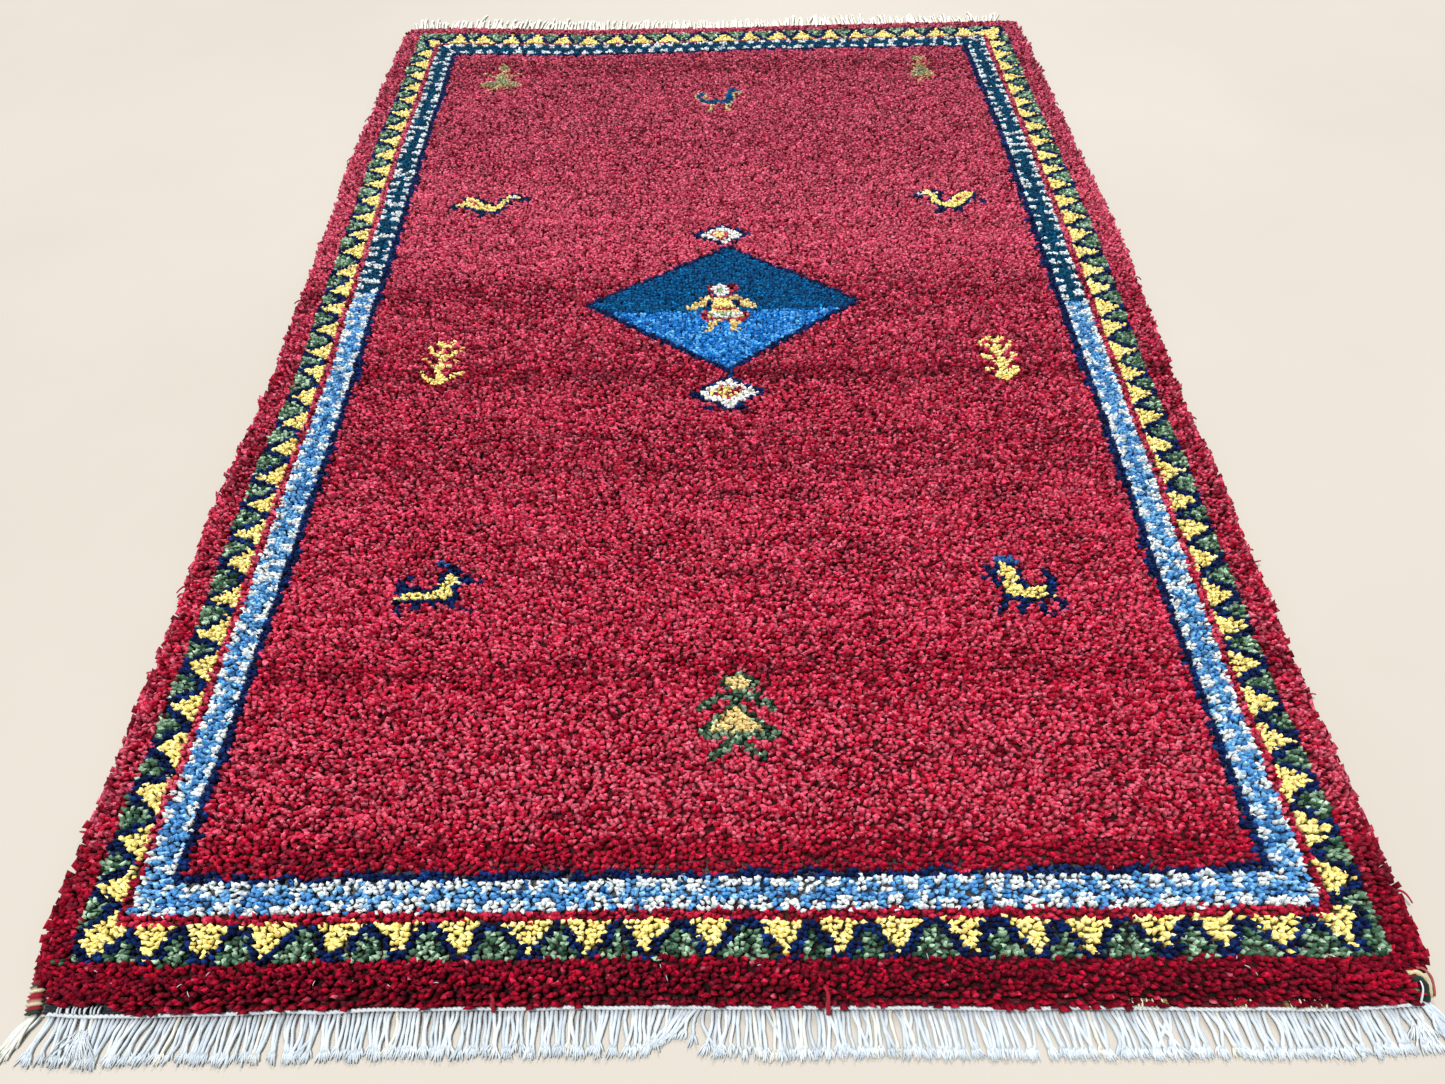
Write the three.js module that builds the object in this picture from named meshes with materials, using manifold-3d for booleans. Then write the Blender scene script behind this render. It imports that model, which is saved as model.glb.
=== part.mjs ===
// A hand-knotted gabbeh rug lying flat on the floor. Millimetres, +Z up.
// +Y runs along the rug to its back end, +X to the right. The origin is on the floor, under the middle of the knotted pile.
import * as THREE from 'three';
import { mergeVertices } from 'three/addons/utils/BufferGeometryUtils.js';
import Module from 'manifold-3d';

const wasm = await Module();
wasm.setup();

// ---- Sizes ----
const RUG_THICK = 15; // floor to the tips of the pile
const KNOT_ROOT = 6.6; // height at which the pile spreads out over the side cords
const STRIP_THICK = 3.2; // the flat-woven strip past the pile
const STRIP_LONG = 2.4; // how far that strip runs past the pile
const PILE_ROUND = 3.2; // the rounded shoulder of the pile
const GAP = 0.4; // between pieces that touch
const SIDE_CORD_WIDE = 7;
const SIDE_CORD_THICK = 6.2;
const END_CORD_WIDE = 3;
const END_CORD_THICK = 4;
const FRINGE_THICK = 3.4;
const FRINGE_SPINE = 2.4; // the band in which the warps leave the end cord
const BUNDLES = 66; // teeth of each comb, a handful of warps to a tooth
const BUNDLE_FILL = 0.8; // share of the pitch that a tooth takes at its root

// The two long edges, a row for each station along the rug: the pile's edge, and the outer side of the side cord under it.
// The pile hangs over the cords except at the front corners, where it is worn back and they show.
const SIDES = [
  { y: -752, left: -472, right: 486, cordLeft: -487, cordRight: 496 },
  { y: -735, left: -480, right: 493, cordLeft: -487, cordRight: 496 },
  { y: -690, left: -488, right: 498, cordLeft: -486, cordRight: 496 },
  { y: -600, left: -489, right: 500, cordLeft: -487, cordRight: 498 },
  { y: -495, left: -488, right: 497, cordLeft: -486, cordRight: 495 },
  { y: -400, left: -490, right: 501, cordLeft: -488, cordRight: 498 },
  { y: -300, left: -495, right: 503, cordLeft: -492, cordRight: 501 },
  { y: -200, left: -492, right: 501, cordLeft: -490, cordRight: 499 },
  { y: -95, left: -487, right: 500, cordLeft: -485, cordRight: 498 },
  { y: 5, left: -493, right: 502, cordLeft: -490, cordRight: 500 },
  { y: 105, left: -496, right: 506, cordLeft: -494, cordRight: 503 },
  { y: 155, left: -498, right: 508, cordLeft: -495, cordRight: 505 },
  { y: 250, left: -499, right: 505, cordLeft: -497, cordRight: 503 },
  { y: 350, left: -504, right: 503, cordLeft: -501, cordRight: 501 },
  { y: 450, left: -504, right: 499, cordLeft: -501, cordRight: 497 },
  { y: 600, left: -502, right: 498, cordLeft: -500, cordRight: 496 },
  { y: 700, left: -503, right: 497, cordLeft: -500, cordRight: 495 },
  { y: 758, left: -500, right: 494, cordLeft: -498, cordRight: 492 },
];

// The two short edges of the pile, a row for each station across the rug.
const ENDS = [
  { x: -460, front: -762, back: 768 },
  { x: -400, front: -764, back: 767 },
  { x: -300, front: -762, back: 763 },
  { x: -200, front: -761, back: 756 },
  { x: -60, front: -761, back: 757 },
  { x: 60, front: -763, back: 758 },
  { x: 180, front: -765, back: 764 },
  { x: 300, front: -766, back: 767 },
  { x: 420, front: -768, back: 769 },
  { x: 474, front: -766, back: 771 },
];

// Each end past the pile: where its cord starts and stops, how long the warps of its fringe are, and how the bundles vary and lean.
const FINISHES = [
  { end: 'front', low: -466, high: 484, long: 27, vary: 3, lean: 4, splay: 16, seed: 3 },
  { end: 'back', low: -488, high: 482, long: 50, vary: 5, lean: 4, splay: 3, seed: 8 },
];

// ---- Helpers ----
const at = (rows, key, value, name) => {
  if (value <= rows[0][key]) return rows[0][name];
  for (let i = 1; i < rows.length; i++) {
    if (value <= rows[i][key]) {
      const t = (value - rows[i - 1][key]) / (rows[i][key] - rows[i - 1][key]);
      return rows[i - 1][name] + t * (rows[i][name] - rows[i - 1][name]);
    }
  }
  return rows[rows.length - 1][name];
};

const polygon = (points) => new THREE.Shape(points.map(([x, y]) => new THREE.Vector2(x, y)));

// An extruded plate from z0 to z1, with a rounded upper and lower edge where round is given.
function plate(points, z0, z1, round = 0, steps = 2) {
  const geometry = new THREE.ExtrudeGeometry(polygon(points), {
    depth: z1 - z0 - 2 * round,
    bevelEnabled: round > 0,
    bevelThickness: round,
    bevelSize: round,
    bevelOffset: -round,
    bevelSegments: steps,
    curveSegments: 1,
  });
  geometry.translate(0, 0, z0 + round);
  return geometry;
}

function solid(geometry) {
  const bare = geometry.index ? geometry.toNonIndexed() : geometry.clone();
  bare.deleteAttribute('normal');
  bare.deleteAttribute('uv');
  const merged = mergeVertices(bare, 1e-4);
  return new wasm.Manifold(new wasm.Mesh({
    numProp: 3,
    vertProperties: new Float32Array(merged.attributes.position.array),
    triVerts: new Uint32Array(merged.index.array),
  }));
}

function geometryOf(manifold) {
  const mesh = manifold.getMesh();
  const geometry = new THREE.BufferGeometry();
  geometry.setAttribute('position', new THREE.BufferAttribute(new Float32Array(mesh.vertProperties), 3));
  geometry.setIndex(new THREE.BufferAttribute(new Uint32Array(mesh.triVerts), 1));
  geometry.computeVertexNormals();
  return geometry;
}

const wave = (i, seed) => {
  const s = Math.sin(i * 12.9898 + seed * 78.233) * 43758.5453;
  return 2 * (s - Math.floor(s)) - 1;
};

const area = (points) => THREE.ShapeUtils.area(points.map(([x, y]) => new THREE.Vector2(x, y)));
const turned = (points) => (area(points) < 0 ? [...points].reverse() : points);

// ---- Outlines ----
const CORD_IN = SIDE_CORD_WIDE + GAP; // from the outer side of a side cord to the foundation
const FIRST = SIDES[0];
const LAST = SIDES[SIDES.length - 1];

// The pile's outline, and that of the knots' roots between the two side cords.
function outline(leftKey, rightKey, inset) {
  const low = FIRST[leftKey] + inset + 8;
  const front = ENDS.filter((r) => r.x > low && r.x < FIRST[rightKey] - inset - 6);
  const back = ENDS.filter((r) => r.x > LAST[leftKey] + inset + 8 && r.x < LAST[rightKey] - inset - 6);
  return turned([
    ...front.map((r) => [r.x, r.front]),
    ...SIDES.map((r) => [r[rightKey] - inset, r.y]),
    ...back.map((r) => [r.x, r.back]).reverse(),
    ...SIDES.map((r) => [r[leftKey] + inset, r.y]).reverse(),
  ]);
}

// A band along one short edge, from near to far millimetres past the pile, and from low to high across the rug.
function band(row, near, far, low = row.low, high = row.high) {
  const way = row.end === 'front' ? -1 : 1;
  const xs = [low, ...ENDS.map((r) => r.x).filter((x) => x > low + 4 && x < high - 4), high];
  const edge = (x, past) => [x, at(ENDS, 'x', x, row.end) + way * past];
  return turned([...xs.map((x) => edge(x, far)), ...[...xs].reverse().map((x) => edge(x, near))]);
}

// ---- Pieces ----
function rugPile() {
  const root = solid(plate(outline('cordLeft', 'cordRight', CORD_IN), 0, KNOT_ROOT + 0.6));
  const pile = solid(plate(outline('left', 'right', 0), KNOT_ROOT, RUG_THICK, PILE_ROUND, 3));
  const strips = FINISHES.map((row) => solid(plate(band(row, -12, STRIP_LONG), 0, STRIP_THICK)));
  return geometryOf(strips.reduce((whole, part) => whole.add(part), pile.add(root)));
}

function sideCord(key, way) {
  const rows = SIDES.map((r) => [r[key], r.y]);
  rows.unshift([rows[0][0], -765]);
  rows.push([rows[rows.length - 1][0], 771]);
  const inner = [...rows].reverse().map(([x, y]) => [x + way * SIDE_CORD_WIDE, y]);
  return plate(turned([...rows, ...inner]), 0, SIDE_CORD_THICK, 1.6, 2);
}

function endCord(row) {
  return plate(band(row, STRIP_LONG + GAP, STRIP_LONG + GAP + END_CORD_WIDE), 0, END_CORD_THICK, 0.9, 2);
}

// The comb of one end: a spine along the cord, and a tooth for each bundle of warps. The last bundles splay outwards.
function fringe(row) {
  const way = row.end === 'front' ? -1 : 1;
  const pitch = (row.high - row.low) / BUNDLES;
  const past = STRIP_LONG + 2 * GAP + END_CORD_WIDE;
  const root = (x) => at(ENDS, 'x', x, row.end) + way * past;
  const teeth = [];
  for (let i = 0; i < BUNDLES; i++) {
    const x = row.low + (i + 0.5) * pitch;
    const half = 0.5 * BUNDLE_FILL * pitch;
    const side = (2 * (i + 0.5)) / BUNDLES - 1;
    const lean = row.lean * (0.6 * Math.sin(i * 0.37 + row.seed) + 0.4 * wave(i, row.seed)) + row.splay * side ** 15;
    const tip = root(x) + way * (row.long + row.vary * wave(i, row.seed + 5));
    teeth.push(
      [x - half, root(x) + way * FRINGE_SPINE],
      [x - 0.86 * half + lean, tip],
      [x + 0.86 * half + lean, tip + 0.5 * wave(i, row.seed + 9)],
      [x + half, root(x) + way * FRINGE_SPINE],
    );
  }
  const xs = ENDS.map((r) => r.x).filter((x) => x > row.low + 4 && x < row.high - 4);
  const spine = [row.high, ...xs.reverse(), row.low].map((x) => [x, root(x)]);
  return plate(turned([...teeth, ...spine]), 0, FRINGE_THICK);
}

// ---- Materials ----
const wool = (color) => new THREE.MeshStandardMaterial({ color, roughness: 0.92, metalness: 0 });
const cotton = () => new THREE.MeshStandardMaterial({ color: 0xdfe4e6, roughness: 0.95, metalness: 0 });

const group = new THREE.Group();
function add(name, geometry, material) {
  const mesh = new THREE.Mesh(geometry, material);
  mesh.name = name;
  group.add(mesh);
}

add('rug_pile', rugPile(), wool(0xa51c37));
add('selvedge_left', sideCord('cordLeft', 1), wool(0x6b2a2a));
add('selvedge_right', sideCord('cordRight', -1), wool(0x6b2a2a));
for (const row of FINISHES) {
  add(`end_cord_${row.end}`, endCord(row), cotton());
  add(`fringe_${row.end}`, fringe(row), cotton());
}

export default group;
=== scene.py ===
# A hand-knotted gabbeh rug: thick wool pile on a woven foundation, overcast sides, twined end cords and a cotton fringe.
import math

import bpy
import numpy as np
from mathutils import Matrix, Vector


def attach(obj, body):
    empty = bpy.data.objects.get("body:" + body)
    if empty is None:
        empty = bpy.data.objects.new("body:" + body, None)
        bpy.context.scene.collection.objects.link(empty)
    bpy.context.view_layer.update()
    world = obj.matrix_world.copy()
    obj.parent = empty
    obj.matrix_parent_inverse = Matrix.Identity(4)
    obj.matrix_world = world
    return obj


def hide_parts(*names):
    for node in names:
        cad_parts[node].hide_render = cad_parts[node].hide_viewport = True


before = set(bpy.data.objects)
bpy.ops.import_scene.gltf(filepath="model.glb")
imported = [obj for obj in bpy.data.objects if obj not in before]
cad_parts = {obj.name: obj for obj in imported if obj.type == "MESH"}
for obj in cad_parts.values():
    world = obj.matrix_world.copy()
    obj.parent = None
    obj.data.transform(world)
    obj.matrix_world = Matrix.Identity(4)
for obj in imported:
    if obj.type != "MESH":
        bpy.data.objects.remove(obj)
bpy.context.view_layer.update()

MM = 0.001

# ---------------------------------------------------------------- camera
# At the eye's place over the near end, looking down along the rug.
EYE = (0.00656, -0.99527, 0.76509)
PITCH, ROLL, YAW = math.radians(49.337), math.radians(0.717), math.radians(-0.063)


def make_camera():
    cp, sp, cw, sw = math.cos(PITCH), math.sin(PITCH), math.cos(YAW), math.sin(YAW)
    ahead = np.array([cp * sw, cp * cw, -sp])
    right = np.array([cw, -sw, 0.0])
    down = np.cross(ahead, right)
    x = math.cos(ROLL) * right + math.sin(ROLL) * down
    d = -math.sin(ROLL) * right + math.cos(ROLL) * down
    data = bpy.data.cameras.new("camera")
    data.sensor_width, data.lens = 36.0, 36.0 * 1050.0 / 1445.0
    data.clip_start, data.clip_end = 0.02, 50.0
    cam = bpy.data.objects.new("camera", data)
    bpy.context.scene.collection.objects.link(cam)
    m = Matrix.Identity(4)
    for col, axis in enumerate((x, -d, -ahead)):
        for row in range(3):
            m[row][col] = axis[row]
    for row in range(3):
        m[row][3] = EYE[row]
    cam.matrix_world = m
    bpy.context.scene.camera = cam


make_camera()

# ---------------------------------------------------------------- sizes, in millimetres
SIDES = [  # y, left and right edge of the pile, outer side of the left and right side cord
    (-752, -474, 494, -487, 496), (-735, -485, 502, -487, 496), (-690, -489, 501, -486, 496),
    (-600, -489, 500, -487, 498), (-495, -488, 497, -486, 495), (-400, -490, 501, -488, 498),
    (-300, -495, 503, -492, 501), (-200, -492, 501, -490, 499), (-95, -487, 502, -485, 498),
    (5, -493, 506, -490, 500), (105, -496, 510, -494, 503), (155, -498, 512, -495, 505),
    (250, -499, 509, -497, 503), (350, -504, 507, -501, 501), (450, -504, 504, -501, 497),
    (600, -502, 503, -500, 496), (700, -503, 502, -500, 495), (758, -500, 499, -498, 492),
]
ENDS = [  # x, front and back edge of the pile
    (-460, -762, 768), (-400, -764, 767), (-300, -762, 763), (-200, -761, 756), (-60, -761, 757),
    (60, -763, 758), (180, -765, 764), (300, -766, 767), (420, -768, 769), (474, -766, 771),
]
FIELD = [  # y, left and right edge of the red field inside the border
    (-673, -399, 404), (-520, -396, 400), (-340, -393, 400), (-160, -391, 402), (20, -394, 400),
    (200, -397, 400), (380, -401, 402), (560, -403, 398), (676, -404, 395),
]
FAR_LINE = [(-400, 670), (-200, 664), (-60, 668), (70, 675), (400, 680)]  # x, far edge of the field
NEAR_LINE = -673
RUG_THICK = 15.0
STRIP_LONG, GAP, END_CORD_WIDE = 2.4, 0.4, 3.0
SIDE_CORD_WIDE, SIDE_CORD_THICK = 7.0, 6.2
FINISHES = {
    "front": dict(low=-466, high=484, long=27, vary=3, lean=4, splay=16, seed=3, way=-1, col=1),
    "back": dict(low=-488, high=482, long=50, vary=5, lean=4, splay=3, seed=8, way=1, col=2),
}

# The knots: a column of the chart for each warp pair, a row for each row of knots.
NX, NY = 264, 412
LAYERS = {  # knots from the outer edge to the end of: plain guard, sawtooth, red line, blue band, navy line
    "side": (0, 7, 15, 17, 24, 26),
    "near": (0, 8, 16, 18, 25, 26),
    "far": (0, 6, 15, 16, 24, 25),
}
ROWS_IN = NY - LAYERS["near"][-1] - LAYERS["far"][-1]
COLS_IN = NX - 2 * LAYERS["side"][-1]


def column(rows, i):
    return np.array([r[i] for r in rows], float)


def along(rows, at, i):
    return np.interp(at, column(rows, 0), column(rows, i))


def wave(i, seed):
    s = np.sin(np.asarray(i, float) * 12.9898 + seed * 78.233) * 43758.5453
    return 2 * (s - np.floor(s)) - 1


def lattice(a, b, cell_a, cell_b, seed):
    """Smooth noise from -1 to 1 over two coordinates."""
    rng = np.random.default_rng(seed)
    a, b = np.asarray(a, float) / cell_a, np.asarray(b, float) / cell_b
    a0, b0 = np.floor(a.min()), np.floor(b.min())
    na, nb = int(a.max() - a0) + 3, int(b.max() - b0) + 3
    grid = rng.uniform(-1, 1, (na, nb))
    ia, ib = np.floor(a - a0).astype(int), np.floor(b - b0).astype(int)
    fa, fb = a - a0 - ia, b - b0 - ib
    fa, fb = fa * fa * (3 - 2 * fa), fb * fb * (3 - 2 * fb)
    top = grid[ia, ib] * (1 - fa) + grid[ia + 1, ib] * fa
    low = grid[ia, ib + 1] * (1 - fa) + grid[ia + 1, ib + 1] * fa
    return top * (1 - fb) + low * fb


def place(u, v, inset=2.6, end_inset=-0.3, wear=1.0):
    """Chart coordinates, in knots, to millimetres on the rug."""
    u, v = np.asarray(u, float), np.asarray(v, float)
    n = LAYERS["near"][-1]
    f = NY - LAYERS["far"][-1]
    x = (u / NX - 0.5) * 1000 + 2
    front, back = along(ENDS, x, 1) + end_inset, along(ENDS, x, 2) - end_inset
    front = front + 3.0 * np.clip((-422 - x) / 8, 0, 1)
    far = along(FAR_LINE, x, 1)
    y = np.where(
        v < n, front + (NEAR_LINE - front) * v / n,
        np.where(v < f, NEAR_LINE + (far - NEAR_LINE) * (v - n) / ROWS_IN, far + (back - far) * (v - f) / (NY - f)),
    )
    k = LAYERS["side"][-1]
    left, right = along(SIDES, y, 1) + inset, along(SIDES, y, 2) - inset
    fl, fr = along(FIELD, y, 1), along(FIELD, y, 2)
    x = np.where(
        u < k, left + (fl - left) * u / k,
        np.where(u < NX - k, fl + (fr - fl) * (u - k) / COLS_IN, fr + (right - fr) * (u - NX + k) / k),
    )
    # the two near corners are worn back from the side cords
    worn = wear * np.clip((-742 - y) / 20, 0, 1)
    x = x + 7 * worn * np.clip((-430 - x) / 36, 0, 1) - 7 * worn * np.clip((x - 444) / 36, 0, 1)
    return x, y


def knot_of(x, y):
    """Millimetres in the field to the chart's column and row."""
    fl, fr = along(FIELD, y, 1), along(FIELD, y, 2)
    u = LAYERS["side"][-1] + (x - fl) / (fr - fl) * COLS_IN
    v = LAYERS["near"][-1] + (y - NEAR_LINE) / (along(FAR_LINE, x, 1) - NEAR_LINE) * ROWS_IN
    return u, v


# ---------------------------------------------------------------- the knot chart
# R red, N navy, B light blue, P petrol, I ivory, Y yellow, G green, D deep teal, M mid blue, O beige, L pale green,
# T tan, C crimson line of the border, W white of the border. The weaver's free-hand figures are charted knot by knot, top row first.
LETTERS = "RNBPIYGDMOLTCW"
CODE = {c: i for i, c in enumerate(LETTERS)}

GOAT_LEFT = """
............bbb.........
............NNbNN.......
..............NNNN......
..............NNNNN.....
......N......NNYYN.NN...
...N.NN......NNYYYNNNN..
...NN........NNYYYINNNNN
...NNN.......YYYYNN.....
...NNNNNN...NNYYYNN.....
...NNNNNNNNNNYYYYNN.....
....NYYYYYYYYYYYYNN.....
...YYYYYYYYYYYYYNNN.....
...NNNNNNNNNNNNNNNN.....
...NN...NNN.NN.NNNN.....
....N...NN...NN..NN.N...
....NN...............NN.
.....N..................
"""
GOAT_RIGHT = """
......bbbb..............
.....bbbbbb.............
.....NYYNNb.............
..NN.NYYYN..............
..NNNNYYYYNN....N.......
...NNIYYYYN.....NN......
.NNNN.NYYNN.....NNN.....
...NN.NYYYN......NN.....
....NNYYYNNN....NNN.....
....N.YYYYNNNNNNNNN.....
.....NYYYYYYYYYYNNN.....
.....NYYYYYYYYYYNN......
.....NNYYYYYYYYNNY......
.....NNNNNNNNNNNNN......
....NN...NNN.NN..NNN....
....NN..NNN..NN...NN....
...NN...NN...NN...NN....
...N....NN....N.........
...............NN.......
"""
WOMAN = """
............GGG............
..........GGTTGGG..........
.........GTTTTTTGG.........
.........GGTTTTTGG.........
..........GGTTTGG..........
............GGG............
........GGGGGGGGGG.........
......GGGG.GGG.GGGG........
.....GGG...GGG...GGGG......
....GGG...GGTGG....GGG.....
....G.....GTTTG.....GG.....
........GGTTTTTGG..........
.......GGTTTTTTTGG.........
......GGTTTTTTTTTGG........
.....GGTTTTTTTTTTTGGG......
....GGGTTGTTGTTTGTTGGG.....
....GGGGGGGGGGGGGGGGGG.....
.....GGGG.GGGGGG.GGGG......
..........GGGGG............
.........GGG.GGG...........
........GGG...GGG..........
......GGGG.....GGGG........
......GG.........GG........
"""
BELTED = """
.......RR.II.RRR.........
.......RRIILIRRRR........
.......RIILLIIRRR........
........RILLIIRR.........
.......R.IILIIR..........
.......RR.III.R..........
......TTRRRRRRTTT........
.....TTTTYYYYTTTTT.......
....TTT.TTYYYYTNNTTT.....
...TTTTNNTYYYYYNNTTTT....
..TTTTTNNTYYYYYNNTTTTT...
.TTTTT.NTTYYYYYTN.TTTT...
.TTT....TRRRRRRRT...TT...
........TTTTTTTTT........
......RTIILLILLITRR......
.....RRILIILLILIIIRR.....
.....RRTIILIILIITTRR.....
.....RRRRRRRRRRRRRRR.....
......RR.TTR.RTTRRR......
.......TTT....TTT........
.......TTT....TTT........
.......TT.....TT.........
.......TT.....TTT........
......TT......TT.........
"""
PLANT_LEFT = """
......YY..YY......
......YYY.YY......
....Y..YYYY...Y...
....YY..Y....Y....
.....Y..Y...YY....
.....YYY...YY.....
......YYYYYY......
........YYY.......
...YY...YY..Y.....
........Y....Y....
.....Y..YY........
......YYYYYY......
.......YYY........
.......YY.........
...Y....YY...YYY..
....Y...YY..YY.Y..
....YY..YYY.YY....
.....YYYYYYY......
......YYYYY.......
.......YYY........
"""
PLANT_RIGHT = """
.........Y......
.....YY..YY.....
....YY.YYYY.....
...Y...YYY..Y...
...Y.Y.....YY...
.....Y.YYY.Y....
......YYY.YY....
......YYYY......
.......YYY......
...YY..YY...YY..
...YYY..Y..Y....
.....Y.YYY.Y....
......YYYYY.....
......YYYY......
.......YYY......
...YY..YY..YY...
...Y...YY.YYY...
......YYYYYY....
.....YYYYYY.....
......YYYY......
.......YY.......
"""
BIRD_LEFT = """
......................NNNN......
.....................NYIIYN.....
.......YYYNN........NYIIYYNNN...
......NYYYYNN......NNYNNNNNNNN..
......NYRRYYNN....NNYYN...NNNN..
......YYYRRYYNN...NYYNN.........
...NNYYYYYRRYYNNN.NYYN..........
..NNYYYNYYYYTYYYNNYYYN..........
.NNNNN.NNYYYYYTYYYYYNN..........
..NN....NNNYYYYYYYYYNN..........
..........NNNNYYYYNNN...........
...........NNNNNNNNN............
............NNN..NNN............
.............NN...NN............
............NN.....N............
"""
BIRD_RIGHT = """
......YY.NN.................
....NIYYINNNN.....NNYYN.....
..NNIIYYYIYNN....NYYYYYNN...
.NNNNNN.YYNNN...NYYYYYYNN...
..NNN..NYYNN...NYYRYYYNNN...
.......NYYNN..NYYRRYYNNN....
.......NYYNN..IYYRYYNN.NNN..
.......NYYYNN.YYRYYNNI..NNN.
........NYYYYYYYYYYNNN....N.
........NNYYYYYYYYNN........
.........NNNYYYYYNN.........
..........NNNNNNNN..........
.........NNN..NNNN..........
........NNN....NNN..........
.......NNN......NN..........
"""
GIRL_LEFT = """
..........OO...........
.........OLLO..........
.........OLLLO.........
.........OLLLO.........
.........OLLLO.........
..........OLLO.........
...........OO..........
...........O...........
...OO.....OOO....OO....
.....OO..OOLOO.OOO.....
.......OOOLLOOOO.......
..........LLLO.........
.........OLLLO.........
.........OLLLLO........
........OLLLLLO........
.....OOOLLLLLLLOOO.....
....OLLLLLLLLLLLLLO....
...OLLLLLLLLLLLLLLLO...
....OOOLLLOOLLLOOOO....
.........OOOOOO........
..........O..O.........
.........OO..OO........
........O......O.......
.......OO.......OO.....
"""
GIRL_RIGHT = """
.......OO..O....
......OLLOOO....
......OLLLO.....
.......OLLO.....
........OO......
........O.......
..O.....OO...O..
...OO..OOO.OO...
.....OOOLOOO....
.......OLO......
.......OLLO.....
......OLLLO.....
......OLLLLO....
.....OLLLLLO....
.....OLLLLLLO...
....OLLLLLLLO...
....OLLLLLLLLO..
....OOOLLLOOOO..
........OO......
........O.O.....
.......OO.......
......OO..O.....
......O.........
"""
LLAMA = """
.................DDD....
................DDDDD...
....OOO.........DDD.DO..
...OODDO.......ODDOOOO..
...ODDDO.......DDDO.O...
...OD.OO.......DDDO.....
...OD.OO.......DDDO.....
...ODDO.......ODDDO.....
....ODDO..D....DDDO.....
....ODDDDDDDDDDDDDO.....
.....ODDDDDDDDDDDO......
......OODDD.ODDDDO......
.........OO....OO.......
.........O.....OO.......
.........O.....O........
.........O.....O........
........OO.....OO.......
........O......OO.......
"""
LOZENGE_FAR = """
.........NNN.........
.......NNNINN........
.....NNNIIIINN.......
...NNNIIIIIIIINN.....
..NNIIIRYRIRIIINNN...
NNNIIIRYYYYRIIIINNNN.
.NNIIIIRYYYRIIIIINNN.
..NNNIIIRYRRIIIINN...
....NNNIIRRIIINN.....
......NNNIIIINN......
........NNIINN.......
.........NNN.........
"""
LOZENGE_NEAR = """
..........NNN..........
.........NNINN.........
.......NNIIIINN........
......NNIIIIIINN.......
....NNIIIRIRIIIINN.....
...NNIIIYRYYIRRIIINN...
.NNIIIRYIRYYRRYRIIINNN.
NNNIIIYRYYYYRYRIIIIINNN
.NNNIIIIRRYRYRIIIIINN..
...NNIIIIRYRIIIIINN....
....NNNIIIIRIIIINN.....
......NNNIIIIINN.......
........NNIIIINN.......
...NNNN..NNIINNNN......
....NNN...NNNN.NN......
"""
FIGURES = [  # chart, and the middle of its place in the field
    (GOAT_LEFT, -261, -399), (GOAT_RIGHT, 285, -407), (WOMAN, 17.5, -535.6), (BELTED, 12.5, 12.5),
    (PLANT_LEFT, -301, -84), (PLANT_RIGHT, 315, -82), (BIRD_LEFT, -292, 235.5), (BIRD_RIGHT, 307.5, 232),
    (GIRL_LEFT, -322, 590), (GIRL_RIGHT, 315, 604), (LLAMA, 5, 510), (LOZENGE_FAR, 12, 161), (LOZENGE_NEAR, 14, -140),
]


def teeth(count_from, count_to, period, seed):
    """Middles, half widths, depths and leans of a run of woven teeth."""
    n = max(1, round((count_to - count_from) / period))
    k = np.arange(n)
    mid = count_from + (k + 0.5) * (count_to - count_from) / n
    return mid, wave(k, seed), wave(k, seed + 1), wave(k, seed + 2), wave(k, seed + 3)


def sawtooth(s, h, deep, run, seed, along=False):
    """Letters of the sawtooth stripe: s along it, h knots out from its inner line."""
    mid, a, b, c, d = run
    nearest = np.abs(s[:, None] - mid[None, :]).argmin(1)
    m = mid[nearest] + 0.7 * a[nearest] + 0.16 * c[nearest] * h
    half = (3.8 if along else 4.0) + 0.5 * b[nearest]
    tall = deep - 1.3 + 0.5 * d[nearest]
    w = half * np.clip(1 - h / tall, 0, 1) ** ((1.12 if along else 0.95) + 0.2 * b[nearest]) + 0.25 * wave(np.floor(h) * 3 + nearest * 7, seed)
    w = np.where(h < 1, half + 0.35, w)
    off = np.abs(s - m)
    out = np.full(s.shape, CODE["G"])
    line = np.interp(s, (60, 200), (2.1, 1.75 if along else 2.1)) + 0.45 * wave(nearest * 5 + np.floor(h), seed + 4)
    out[(off < w + line) & (h < tall + 1.7)] = CODE["N"]
    out[(h < 1.2) & (wave(np.floor(s), seed + 6) > -0.2)] = CODE["N"]
    out[(off < w) & (h < tall)] = CODE["Y"]
    spot = (wave(np.floor(s) + 31 * np.floor(h), seed + 8) > 0.93) & (h < 2)
    out[spot] = CODE["Y"]
    return out


def band(s, j, deep, outer, inner, blue, reach, wide, seed, small):
    """Letters of the blue band: j knots in from its outer line."""
    out = blue.copy()
    for run, at in ((outer, j), (inner, deep - 1 - j)):
        mid, a, b, c, d = run
        nearest = np.abs(s[:, None] - mid[None, :]).argmin(1)
        off = np.abs(s - mid[nearest] - 0.6 * a[nearest])
        w = wide - small + (0.45 - 0.2 * small) * b[nearest] - 0.32 * at
        out[(off < w) & (at < reach - small + 0.8 * c[nearest])] = CODE["W"]
        bar = (d[nearest] > 0.84) & (off < 0.6)
        out[bar & (at < deep * 0.7)] = CODE["W"]
    return out


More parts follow.
